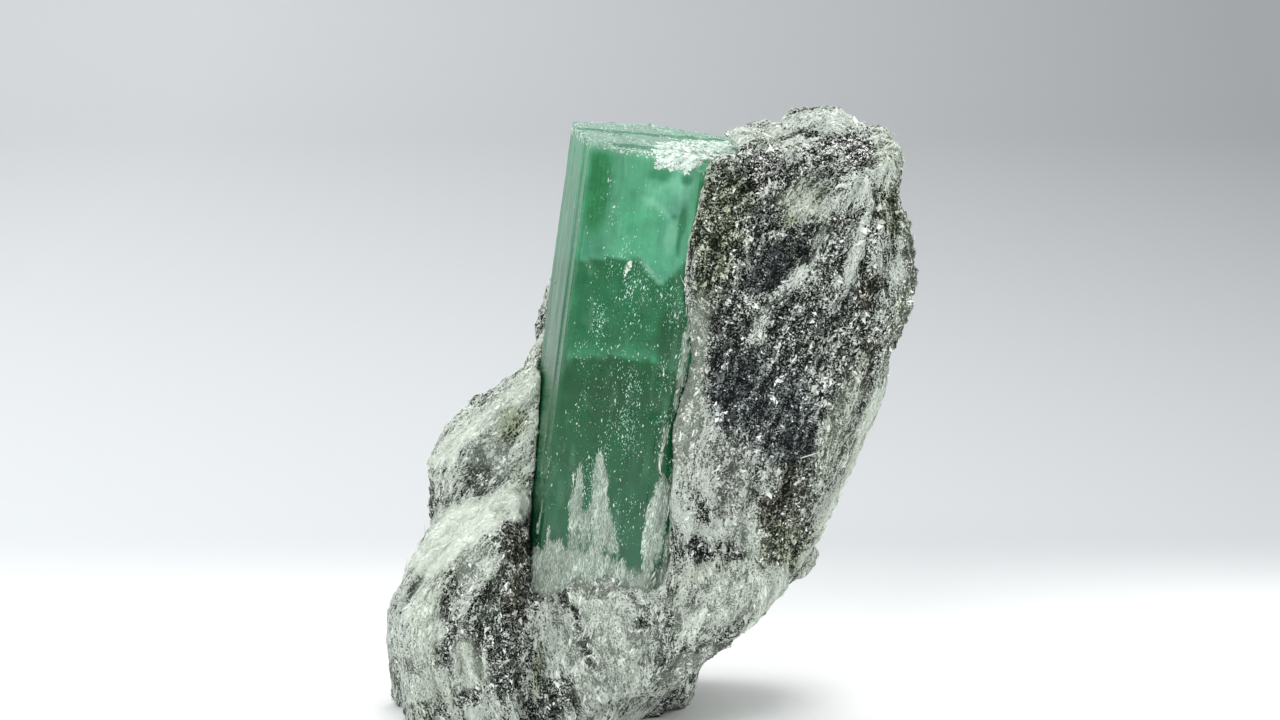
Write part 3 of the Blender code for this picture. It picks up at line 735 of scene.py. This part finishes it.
def stone_material():
    """The skin between the flakes: grains and threads of dark and pale minerals, dull and gritty."""
    material, tree = new_material("schist_skin")
    place = add(tree, "TexCoord", "Object")
    threads = noise_along_grain(tree, place, 0.13 * MM, 0.28 * MM, 5)
    grains = noise_at(tree, place, 8500.0, 2.0, 0.7)
    centred = maths(tree, "MULTIPLY_ADD", grains, 2.6, -1.3)
    chance = maths(tree, "MULTIPLY_ADD", threads, 0.42, centred)
    share = maths(tree, "MULTIPLY_ADD", chance, kept(tree, "uneven", "Fac"), kept(tree, "pale_share_and_groove_shade", "Fac"))
    sharp = ranged(tree, share, 0.3, 0.78)
    finish_material(
        tree,
        Base_Color=mixed_colour(tree, sharp, kept(tree, "dark_tone"), kept(tree, "pale_tone")),
        Roughness=ranged(tree, grains, 0.0, 1.0, 0.75, 0.5),
        Normal=add(tree, "Bump", Strength=0.7, Distance=0.07 * MM, Height=chance),
        Specular_IOR_Level=MICA_SPECULAR,
    )
    return material


def flake_material(name, smoothest, roughest):
    """Mica: pearly flakes, lighter or darker and some glossier than others from place to place."""
    material, tree = new_material(name)
    speckle = noise_at(tree, add(tree, "TexCoord", "Object"), 3000.0, 3.0, 0.7)
    finish_material(
        tree,
        Base_Color=brightened(tree, kept(tree, "tone"), ranged(tree, speckle, 0.3, 0.7, 0.85, 1.15)),
        Roughness=ranged(tree, speckle, 0.3, 0.7, smoothest, roughest),
        IOR=MICA_IOR,
        Specular_IOR_Level=MICA_SPECULAR,
    )
    return material


def emerald_material():
    """Emerald: clear but clouded, with fine striae on its faces and green throughout."""
    material, tree = new_material("emerald")
    own = kept(tree, "own_place", "Vector")
    stretched = add(tree, "VectorMath", set_operation="MULTIPLY", n0=own, n1=(9.0, 9.0, 0.35))
    striae = noise_at(tree, stretched, 1.0, 4.0, 0.65)
    clouds = ranged(tree, noise_at(tree, own, 0.9, 5.0, 0.62), 0.3, 0.7, 0.76, 1.22)
    level = maths(tree, "MULTIPLY", clouds, ranged(tree, striae, 0.3, 0.7, 0.91, 1.09))
    finish_material(
        tree,
        volume=add(tree, "VolumeAbsorption", Color=EMERALD_ABSORPTION, Density=EMERALD_DENSITY),
        Base_Color=brightened(tree, kept(tree, "tone"), level),
        Roughness=ranged(tree, striae, 0.3, 0.7, 0.10, 0.26),
        Normal=add(tree, "Bump", Strength=0.35, Distance=0.04 * MM, Height=striae),
        IOR=EMERALD_IOR,
        Transmission_Weight=EMERALD_CLEARNESS,
    )
    return material


# ---------- the stone


def front_share(points, normals):
    """1 on the stone's front, 0 on its back."""
    return 1 - smooth(points[:, 1] + 2.2 * normals[:, 1], -1.5, 3.5)


def mineral_map(points, normals, noise, direction):
    """The share of pale minerals, how unevenly they mix, and the dark and pale tones."""
    streaky = np.stack([fibres(noise, points + 31.0 * k, direction, 0.7, 2.0) for k in (1, 2)], axis=1)
    seen = from_front(points) + 0.34 * streaky + 0.34 * noise.pair(points, 31.0, 1.1)
    broad = noise.layers(points, 6.0, 3)
    pale = np.clip(0.62 + 0.42 * broad, 0.14, 0.92)
    dark_tone = np.tile(linear(TINTS["grey"][0]), (len(points), 1))
    pale_tone = np.tile(linear(TINTS["grey"][1]), (len(points), 1))
    uneven = np.ones(len(points))
    tinge = smooth(noise.layers(points + 90, 4.0, 2), 0.0, 0.5)[:, None]
    dark_tone = mix(dark_tone, linear(TINTS["olive"][0]), tinge * 0.7)
    pale_tone = mix(pale_tone, linear(TINTS["cream"][1]), tinge * 0.8)
    front = front_share(points, normals)
    for _, centre, radii, tilt, share, tint in PATCHES:
        weight = patch_weight(seen, centre, radii, tilt) * front
        pale = mix(pale, share, weight)
        uneven = mix(uneven, TINTS[tint][2], weight)
        weight = weight[:, None]
        dark_tone = mix(dark_tone, linear(TINTS[tint][0]), weight)
        pale_tone = mix(pale_tone, linear(TINTS[tint][1]), weight)
    return 0.5 + PALE_RANGE * (pale - 0.5), uneven, dark_tone, pale_tone


class Minerals:
    """What the stone is made of at each point, and how its surface runs there."""

    def __init__(self, points, normals):
        noise = Noise(MINERAL_SEED)
        ridges = Noise(RIDGE_SEED)
        self.grain = grain(points)
        looks = mineral_map(points, normals, noise, self.grain)
        self.pale, self.uneven, self.dark_tone, self.pale_tone = looks

        # Long streaks where the minerals are pale, and clots where they are dark.
        threads = fibres(noise, points, self.grain, 0.30, 1.5, steps=11)
        bands = fibres(noise, points + 50.0, self.grain, 0.75, 3.2, steps=11)
        clots = noise.layers(points + 7.7, 0.6, 3)
        silky = smooth(self.pale, 0.38, 0.66)
        long = 0.25 * threads + mix(0.28, 0.46, silky) * bands
        self.mixture = long + mix(0.26, 0.07, silky) * clots - 0.05
        self.streak = (0.15 * threads + 0.18 * bands) * mix(1.0, 1.45, silky)

        # Broad and fine ridges along the grain, with narrow grooves between them.
        self.broad = 0.75 - 1.5 * np.abs(fibres(ridges, points + 40.0, self.grain, 1.25, 3.4, steps=11))
        self.fine = 0.6 - 1.4 * np.abs(fibres(ridges, points + 60.0, self.grain, 0.55, 2.0))

    def share(self, chance=0.0):
        """The share of pale minerals, mixed: dark below a half, and pale above it."""
        mixed = self.pale + self.uneven * (self.mixture + chance)
        # The ridge heights raise the share on the ridges and lower it in the grooves: painted shade.
        return mixed + 0.05 * self.broad + 0.05 * self.fine


def stone_skin():
    """The stone's fine mesh: closed up to the crystal, with ridges and grit along its grain."""
    points, triangles = remeshed(STONE_NODE, SKIN_VOXEL)
    normals = normals_of(points, triangles)
    distance, outward, height = crystal_distance(points)

    # Stone that faces the crystal is drawn up against it, and has no relief of its own.
    near = (1 - smooth(distance, *RIM_REACH)) * (1 - smooth(height, 0.0, 0.8)) * (distance > 0)
    pull = np.minimum(RIM_PULL * near, np.maximum(distance - RIM_GAP, 0))
    points = points - outward * pull[:, None]
    free = np.clip(smooth(distance, 0.30, 0.9) + smooth(height, 0.2, 0.8), 0, 1)

    stone = Minerals(points, normals)
    noise = Noise(RIDGE_SEED)
    crags = noise.layers(points, 1.4, 3)
    grit = noise.layers(points + 5.0, 0.45, 2)
    rough = mix(1.25, 0.6, smooth(stone.pale, 0.2, 0.9))
    raised = RIDGE_HEIGHT * stone.broad + FINE_RIDGE_HEIGHT * stone.fine + CRAG_HEIGHT * crags
    raised = raised + rough * (GRIT_HEIGHT * grit + STREAK_HEIGHT * stone.streak)
    step = smooth(stone.pale + stone.uneven * stone.mixture, 0.0, 1.0) - 0.6
    raised = raised + MINERAL_STEP * step
    flat = smooth(points[:, 2], 0.0, 0.5)
    points = inside_box(points + normals * (raised * free * flat)[:, None])
    points[:, 2] = np.maximum(points[:, 2], 0)
    return points, triangles


def keep_minerals(skin, points, triangles):
    """Keeps at the skin's points what its material mixes: the minerals, their shares and the grain."""
    stone = Minerals(points, normals_of(points, triangles))
    keep(skin, "dark_tone", stone.dark_tone, "COLOR")
    keep(skin, "pale_tone", stone.pale_tone, "COLOR")
    keep(skin, "grain", stone.grain, "VECTOR")
    # This share carries the painted shade of the grooves as well as the minerals.
    keep(skin, "pale_share_and_groove_shade", stone.share() - 0.05)
    keep(skin, "uneven", stone.uneven)


def stone_flakes(points, triangles, count, seed):
    """Mica flakes and slivers that cover the stone: where they lie, their shapes and their tones."""
    draw = np.random.default_rng(seed)
    normals = normals_of(points, triangles)
    distance, outward, height = crystal_distance(points)
    inner = (distance < 0.25) & (height < 0.3) & ((normals * outward).sum(axis=1) < -0.3)
    weight = np.where(inner, 0.0, 0.45 + 0.55 * front_share(points, normals)) * (points[:, 2] > 0.05)
    places, normal = scatter(points, triangles, normals, weight, count, draw)

    # Each flake is of the dark or of the pale minerals.
    stone = Minerals(places, normal)
    pale = stone.pale
    chance = mix(0.10, 0.18, smooth(0.55 - pale, -0.1, 0.2)) * draw.normal(size=count)
    bright = stone.share(chance) > 0.5
    amount = np.where(bright, draw.uniform(0.7, 1.0, count), draw.uniform(0.0, 0.3, count))
    amount = mix(smooth(pale, 0.2, 0.8), amount, 0.5 + 0.5 * stone.uneven)

    # Flakes lie along the grain, and the more granular the stone is, the more they stray from it.
    granular = smooth(normal[:, 2], 0.5, 0.9) * 0.5 + smooth(0.55 - pale, -0.1, 0.25) * 0.8
    granular = np.clip(granular + 0.15 * draw.normal(size=count), 0, 1)
    spreads = [mix(*spread, granular) for spread in FLAKE_SPREADS]
    along, across = strayed(stone.grain, normal, spreads, draw)

    # Some are slivers: long, and hardly wider than a hair.
    fibrous = draw.random(count) < mix(*SLIVER_SHARES, smooth(granular, 0.2, 0.7))
    length = np.exp(draw.normal(0, 0.5, count)) * mix(*FLAKE_LENGTHS, granular**0.7)
    length = np.clip(np.where(fibrous, SLIVER_LENGTH * length, length), *FLAKE_LIMITS)
    width = length * mix(draw.uniform(0.2, 0.42, count), draw.uniform(0.5, 0.9, count), granular)
    width = np.where(fibrous, draw.uniform(*SLIVER_WIDTHS, count), width)
    lift = np.where(bright, draw.uniform(0.0, 0.05, count), draw.uniform(-0.02, 0.02, count))
    shapes, faces = flake_shapes(places + normal * lift[:, None], along, across, length, width)

    # Tones are darker in the grooves, which is painted shade, and a few flakes get a near-white tone as
    # painted glints.
    tone = mix(stone.dark_tone, stone.pale_tone, amount[:, None])
    # A near-white tone on a few bright flakes stands in for their glints: painted highlights.
    painted_glint = bright & (draw.random(count) < PAINTED_GLINT_SHARE + PAINTED_GLINT_SHARE_IN_DARK * (pale < 0.47))
    tone = np.where(painted_glint[:, None], linear(PAINTED_GLINT_TONE), tone)
    # The streaks' own tone, plus painted shade: the ridge heights darken the grooves.
    streak = np.clip(stone.streak, -0.5, 0.4) + 0.10 * stone.broad + 0.08 * stone.fine
    tone = tone * np.exp(streak + draw.normal(0, 0.09, count))[:, None]
    return shapes, faces, np.repeat(np.clip(tone, 0, 0.95), 4, axis=0)


def stone_hairs(points, triangles):
    """Long thin fibres that stand a little off the stone along its grain. The first is the needle."""
    draw = np.random.default_rng(HAIR_DRAW)
    normals = normals_of(points, triangles)
    pale = mineral_map(points, normals, Noise(MINERAL_SEED), grain(points))[0]
    distance, _, height = crystal_distance(points)
    inner = (distance < 0.3) & (height < 0.3)
    weight = np.where(inner, 0.0, smooth(pale, 0.35, 0.8) + 0.1) * (points[:, 2] > 1.5)
    places, normal = scatter(points, triangles, normals, weight, HAIRS, draw)
    along = unit(across_face(grain(places), normal) + 1e-3)
    along = turned(along, normal, math.radians(HAIR_SPREAD) * draw.normal(size=HAIRS))
    near = np.abs(from_front(points) - np.array(NEEDLE_PLACE)).max(axis=1) < 0.2
    base = np.where(near, points[:, 1], np.inf).argmin()
    places[0], normal[0] = points[base] + normals[base] * 0.1, normals[base]
    along[0] = (math.sin(NEEDLE_LEAN), 0, math.cos(NEEDLE_LEAN))
    length = np.clip(np.exp(draw.normal(math.log(HAIR_LENGTH), 0.4, HAIRS)), *HAIR_LIMITS)
    curl = draw.normal(0, 0.35, HAIRS)
    rise = draw.uniform(0.0, 0.16, HAIRS)
    length[0], curl[0], rise[0] = NEEDLE_LENGTH, 0.1, 0
    stout = np.where(np.arange(HAIRS) == 0, NEEDLE_STOUTNESS, 1.0)
    side = np.cross(normal, along)
    rings = []
    for step in np.linspace(0, 1, HAIR_STEPS + 1):
        run = (step - 0.3) * length
        middle = places + along * run[:, None] + side * (curl * run * abs(run) / length)[:, None]
        middle = middle + normal * (0.03 + rise * length * max(step - 0.3, 0) ** 2 * 2)[:, None]
        thick = ((0.008 + 0.009 * math.sin(math.pi * step)) * stout)[:, None]
        for corner in range(3):
            angle = 2 * math.pi * corner / 3
            rings.append(middle + (side * math.cos(angle) + normal * math.sin(angle)) * thick)
    shapes = inside_box(np.stack(rings, axis=1).reshape(-1, 3))
    tones = mix(linear(HAIR_TONES[0]), linear(HAIR_TONES[1]), draw.random(HAIRS)[:, None])
    return shapes, hair_faces(), np.repeat(tones, len(rings), axis=0)


def hair_faces():
    """The triangles of every fibre: a closed tube of three sides."""
    faces = []
    for step in range(HAIR_STEPS):
        for corner in range(3):
            a, b = 3 * step + corner, 3 * step + (corner + 1) % 3
            faces += [(a, b, b + 3), (a, b + 3, a + 3)]
    last = 3 * HAIR_STEPS
    faces += [(2, 1, 0), (last, last + 1, last + 2)]
    starts = 3 * (HAIR_STEPS + 1) * np.arange(HAIRS)
    return (starts[:, None, None] + np.array(faces)[None]).reshape(-1, 3)


def make_stone():
    """The skin, its flakes in pieces of the same size, and its fibres."""
    points, triangles = stone_skin()
    skin = new_piece("schist_skin", points, triangles, stone_material(), smoothed=True)
    keep_minerals(skin, points, triangles)
    dress(skin, STONE_NODE)
    material = flake_material("mica_flakes", 0.28, 0.5)
    for index in range(FLAKE_PIECES):
        shapes, faces, tones = stone_flakes(points, triangles, FLAKES_PER_PIECE, FLAKE_DRAW + index)
        dress(new_piece(f"mica_flakes_{index + 1}", shapes, faces, material, tones))
    shapes, faces, tones = stone_hairs(points, triangles)
    dress(new_piece("mica_fibres", shapes, faces, material, tones))


# ---------- the crystal


def crystal_mesh():
    """The crystal's solid in its own frame, cut into small cells across, along and over its end."""
    shape = bmesh.new()
    shape.from_mesh(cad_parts[CRYSTAL_NODE].data)
    bmesh.ops.remove_doubles(shape, verts=shape.verts, dist=1e-7)
    shape.transform(Matrix([list(row) for row in TO_CRYSTAL]) @ Matrix.Scale(1 / MM, 4))
    bmesh.ops.dissolve_limit(shape, angle_limit=math.radians(0.3), verts=shape.verts, edges=shape.edges)
    for axis in (0, 2, 1):
        places = [vert.co[axis] for vert in shape.verts]
        faces = [face for face in shape.faces if axis != 1 or abs(face.normal.z) > 0.5]
        parts = set(faces)
        for face in faces:
            parts.update(face.edges, face.verts)
        across = Vector([float(k == axis) for k in range(3)])
        for place in np.arange(min(places), max(places), CRYSTAL_CELL[axis])[1:]:
            plane = {"plane_co": across * place, "plane_no": across}
            parts = bmesh.ops.bisect_plane(shape, geom=list(parts), dist=1e-4, **plane)["geom"]
    bmesh.ops.triangulate(shape, faces=shape.faces)
    mesh = bpy.data.meshes.new("crystal")
    shape.to_mesh(mesh)
    shape.free()
    points, triangles = arrays_of(mesh)
    bpy.data.meshes.remove(mesh)
    # The mesh was in millimetres already, which arrays_of takes for metres.
    return points * MM, triangles


def crystal_surface(local, triangles):
    """The crystal's points in its own frame, with striae, shallow pits and a rough end."""
    noise = Noise(STRIAE_SEED)
    normals = normals_of(local, triangles)
    side = 1 - smooth(np.abs(normals[:, 2]), 0.3, 0.7)
    striae = noise.layers(local * (1.0, 1.0, 0.03), 0.5, 3)
    striae = striae + 0.5 * noise(local * (1, 1, 0.12), 0.3)

    # Away from their edges, the low growth steps of the front face and the next one are levelled.
    outside = local @ face_normals().T - FACE_DISTANCE
    nearest = outside.argmax(axis=1)
    second = np.sort(outside, axis=1)[:, -2]
    flat = (nearest <= 1) & (second < -0.4) & (outside.max(axis=1) > -0.13)
    local = local - face_normals()[nearest] * (outside.max(axis=1) * flat * side)[:, None]

    grooved = 1 + STRIAE_GAIN_LEFT * (nearest == LEFT_FACE)
    pits = np.minimum(noise.layers(local * (1, 1, 0.5), 0.7, 2) + 0.35, 0)
    rough_end = END_RELIEF * noise.layers(local, 1.0, 3) + FINE_END_RELIEF * noise(local, 0.25)
    moves = side * (STRIAE_HEIGHT * grooved * striae - 0.01 + PIT_DEPTH * pits)
    moves = moves + (1 - side) * smooth(local[:, 2], -3, -1) * rough_end
    return local + normals * moves[:, None]


def at_heights(table, height):
    """The tone at each height, from a table of heights and tones."""
    heights = [row[0] for row in table][::-1]
    tones = np.array([linear(row[1]) for row in table])[::-1]
    return np.stack([np.interp(height, heights, tones[:, k]) for k in range(3)], axis=1)


def above_line(seen, line):
    """1 above a line across the front, 0 below it."""
    return smooth(seen[:, 1] - np.interp(seen[:, 0], *zip(*line)), -0.08, 0.08)[:, None]


def thickness_of(patches, seen):
    """How thickly the thickest of some patches covers each point."""
    total = np.zeros(len(seen))
    for _, centre, radii, tilt, amount in patches:
        total = np.maximum(total, amount * patch_weight(seen, centre, radii, tilt))
    return total


def growth_shares(points, local):
    """How thickly mica grows on the crystal: in streaks, over its foot, and as a crust on its rim."""
    noise = Noise(GROWTH_SEED)
    seen = from_front(points) + 0.16 * noise.pair(points, 9.0, 0.8)
    strands = noise.layers(local * (1.0, 1.0, 0.2), 0.42, 3)
    streaks = smooth(thickness_of(STREAKS, seen) + 0.42 * strands, 0.36, 0.85)
    foot_line = np.interp(seen[:, 0], *zip(*FOOT_LINE)) + 0.5 * strands
    foot = 1 - smooth(seen[:, 1] - foot_line, -0.3, 0.5)
    crust = smooth(thickness_of(CRUST, seen) + 0.2 * noise.layers(points, 0.5, 2), 0.45, 0.6)
    return seen, streaks, foot, crust


def crystal_tone(points, local):
    """The crystal's tone at each point: three zones of green, clouds, and a left face paled by painted
    reflection.
    """
    noise = Noise(GREEN_SEED)
    seen = from_front(points)
    wander = noise.pair(local * (1.0, 1.0, 0.35), 11.0, 1.2)
    height = seen[:, 1] + 0.3 * wander[:, 1]
    tone = at_heights(LOW_TONES, height)
    tone = mix(tone, at_heights(MIDDLE_TONES, height), above_line(seen, LOWER_FRACTURE))
    tone = mix(tone, at_heights(TOP_TONES, height), above_line(seen, UPPER_FRACTURE))
    front = (local[:, 1] < 1)[:, None]
    for _, centre, radii, tilt, zone in CRYSTAL_ZONES:
        weight = patch_weight(seen + 0.12 * wander, centre, radii, tilt)[:, None]
        tone = mix(tone, linear(zone), 0.85 * weight * front)
    # Painted reflection: the left face is mixed towards these paler greens.
    left = (local @ face_normals()[LEFT_FACE] > FACE_DISTANCE - 0.35)[:, None]
    tone = mix(tone, at_heights(LEFT_FACE_GREEN_AND_SHEEN, height), 0.75 * left)
    veil = smooth(noise.layers(local * (2.2, 2.2, 0.5), 1.0, 3), 0.15, 0.9)
    tone = mix(tone, linear(VEIL_TONE), 0.16 * veil[:, None])
    end = smooth(local[:, 2], -0.8, -0.2)
    tone = mix(tone, linear(END_TONE), 0.7 * end[:, None])
    _, streaks, foot, crust = growth_shares(points, local)
    covered = np.maximum(np.maximum(streaks, foot), crust)[:, None] * front
    return mix(tone, linear(GROWTH_TONE), 0.8 * covered)


def growth_flakes(points, triangles, normals, weight, draw, style):
    """The flakes of one style, strewn over the crystal by a weight at each point."""
    count, middle_length, width_share, spread, lift, darkest, palest = style
    places, normal = scatter(points, triangles, normals, weight, count, draw)
    axis = np.tile(FROM_CRYSTAL[:3, 2], (count, 1))
    along, across = strayed(axis, normal, (spread, 22, 10), draw)
    length = np.clip(middle_length * np.exp(draw.normal(0, 0.4, count)), 0.04, 0.9)
    width = length * draw.uniform(0.7 * width_share, 1.3 * width_share, count)
    centres = places + normal * draw.uniform(0.0, lift, count)[:, None]
    shapes, faces = flake_shapes(centres, along, across, length, width)
    tone = mix(linear(darkest), linear(palest), draw.random(count)[:, None])
    shade = Noise(SHADE_SEED).layers(in_crystal(places) * (1.0, 1.0, 0.35), 0.6, 3)
    tone = np.clip(tone * np.exp(0.32 * shade - 0.03)[:, None], 0, 0.95)
    return shapes, faces, np.repeat(tone, 4, axis=0)


def make_growth(points, triangles):
    """The mica on the crystal: streaks up from its foot, a crust on its rim, frost and white specks."""
    draw = np.random.default_rng(GROWTH_DRAW)
    noise = Noise(GROWTH_SEED)
    local = in_crystal(points)
    normals = normals_of(points, triangles)
    seen, streaks, foot, crust = growth_shares(points, local)
    front = (local[:, 1] < 0.5) & (normals[:, 1] < 0.2)
    end = smooth(local[:, 2], -0.6, -0.3)
    clusters = noise.layers(local * (1.0, 1.0, 0.5), 1.3, 3)
    specks = thickness_of(SPECK_BANDS, seen) * front * (1 - end) * (0.10 + smooth(clusters, -0.1, 0.8))
    rim = end * smooth((local @ face_normals().T).max(axis=1) - FACE_DISTANCE, -0.35, -0.1)
    frost = end * smooth(noise.layers(local * (0.5, 1.4, 1.0), 0.9, 3), -0.1, 0.5)
    weights = {
        "streaks": streaks * front,
        "foot": foot * front,
        "crust": crust * np.maximum(front, end),
        "specks": specks,
        "frost": frost + 2.0 * rim,
    }
    parts = []
    for kind, *style in GROWTH_STYLES:
        parts.append(growth_flakes(points, triangles, normals, weights[kind], draw, style))
    starts = np.cumsum([0] + [len(shapes) for shapes, _, _ in parts[:-1]])
    shapes = np.concatenate([part[0] for part in parts])
    faces = np.concatenate([part[1] + start for part, start in zip(parts, starts)])
    tones = np.concatenate([part[2] for part in parts])
    material = flake_material("mica_on_crystal", 0.3, 0.5)
    dress(new_piece("mica_on_crystal", shapes, faces, material, tones))


def make_crystal():
    """The clear body, and what grows on it."""
    local, triangles = crystal_mesh()
    local = crystal_surface(local, triangles)
    points = inside_box(from_crystal(local))
    tones = crystal_tone(points, local)
    piece = new_piece("emerald_body", points, triangles, emerald_material(), tones, smoothed=True)
    keep(piece, "own_place", local, "VECTOR")
    piece.data.set_sharp_from_angle(angle=math.radians(24))
    dress(piece, CRYSTAL_NODE)
    make_growth(points, triangles)


# ---------- stage, lights and camera


def point_at(thing, target):
    direction = Vector(target) * MM - thing.location
    thing.rotation_euler = direction.to_track_quat("-Z", "Y").to_euler()


def stage_mesh():
    """The floor, the bend and the wall, as strips from left to right."""
    angles = np.radians(range(10, 91, 10))
    profile = [(STAGE_FRONT, STAGE_LEVEL), (STAGE_BACK, STAGE_LEVEL)]
    for angle in angles:
        rise = STAGE_BEND * (1 - math.cos(angle))
        profile.append((STAGE_BACK + STAGE_BEND * math.sin(angle), rise + STAGE_LEVEL))
    profile.append((STAGE_BACK + STAGE_BEND, STAGE_TOP))
    shape = bmesh.new()
    sides = []
    for x in (-STAGE_SIDE, STAGE_SIDE):
        sides.append([shape.verts.new(Vector((x, y, z)) * MM) for y, z in profile])
    left, right = sides
    for k in range(len(profile) - 1):
        shape.faces.new((left[k], right[k], right[k + 1], left[k + 1]))
    mesh = bpy.data.meshes.new("stage")
    shape.to_mesh(mesh)
    shape.free()
    mesh.shade_smooth()
    return mesh


def stage_material():
    """White by the part, and grey further back."""
    material, tree = new_material("stage")
    place = add(tree, "TexCoord", "Object")
    back = add(tree, "SeparateXYZ", "Y", Vector=place)
    right = add(tree, "SeparateXYZ", "X", Vector=place)
    turn = ranged(tree, back, GREY_STARTS * MM, GREY_FULL * MM, set_interpolation_type="SMOOTHSTEP")
    white, grey_left, grey_right = ((*linear(tone), 1) for tone in (STAGE_WHITE, GREY_LEFT, GREY_RIGHT))
    share = ranged(tree, right, GREY_SPAN[0] * MM, GREY_SPAN[1] * MM)
    grey = mixed_colour(tree, share, grey_left, grey_right)
    finish_material(tree, Base_Color=mixed_colour(tree, turn, white, grey), Roughness=0.8)
    return material


def make_stage():
    mesh = stage_mesh()
    mesh.materials.append(stage_material())
    floor = bpy.data.objects.new("stage_sweep", mesh)
    bpy.context.scene.collection.objects.link(floor)


def add_light(name, place, target, size, power, colour):
    """A soft rectangular light, which the camera doesn't see."""
    data = bpy.data.lights.new(name, "AREA")
    data.shape = "RECTANGLE"
    data.size, data.size_y = (side * MM for side in size)
    data.energy = power
    data.color = colour
    light = bpy.data.objects.new(name, data)
    light.location = Vector(place) * MM
    light.visible_camera = False
    bpy.context.scene.collection.objects.link(light)
    point_at(light, target)


def make_lights():
    middle = (0, 0, 18)
    add_light("key", (-60, -170, 190), middle, (120, 90), 0.26, (1.0, 1.0, 0.99))
    add_light("left", (-200, -70, 60), middle, (110, 110), 0.10, (0.98, 0.99, 1.0))
    add_light("right", (180, -30, 110), middle, (110, 110), 0.13, (1.0, 1.0, 0.98))
    add_light("top", (20, 40, 230), middle, (120, 120), 0.24, (1.0, 1.0, 0.99))
    add_light("far", (0, 210, 260), (0, 211, 0), (560, 330), 0.66, (1.0, 1.0, 1.0))
    world = bpy.data.worlds.new("world")
    world.use_nodes = True
    background = world.node_tree.nodes["Background"]
    background.inputs["Color"].default_value = WORLD_COLOUR
    background.inputs["Strength"].default_value = WORLD_STRENGTH
    bpy.context.scene.world = world


def make_camera():
    data = bpy.data.cameras.new("camera")
    data.sensor_width = SENSOR_WIDTH
    data.lens = SENSOR_WIDTH * VIEW_DISTANCE / VIEW_WIDTH
    data.clip_start = 0.001
    data.clip_end = 10.0
    camera = bpy.data.objects.new("camera", data)
    back = Vector((0, -math.cos(VIEW_ELEVATION), math.sin(VIEW_ELEVATION)))
    camera.location = (Vector(VIEW_TARGET) + back * VIEW_DISTANCE) * MM
    bpy.context.scene.collection.objects.link(camera)
    point_at(camera, VIEW_TARGET)
    bpy.context.scene.camera = camera


# ---------- main


def main():
    bpy.context.scene.view_settings.view_transform = "Standard"
    make_camera()
    make_stage()
    make_lights()
    make_stone()
    make_crystal()


main()
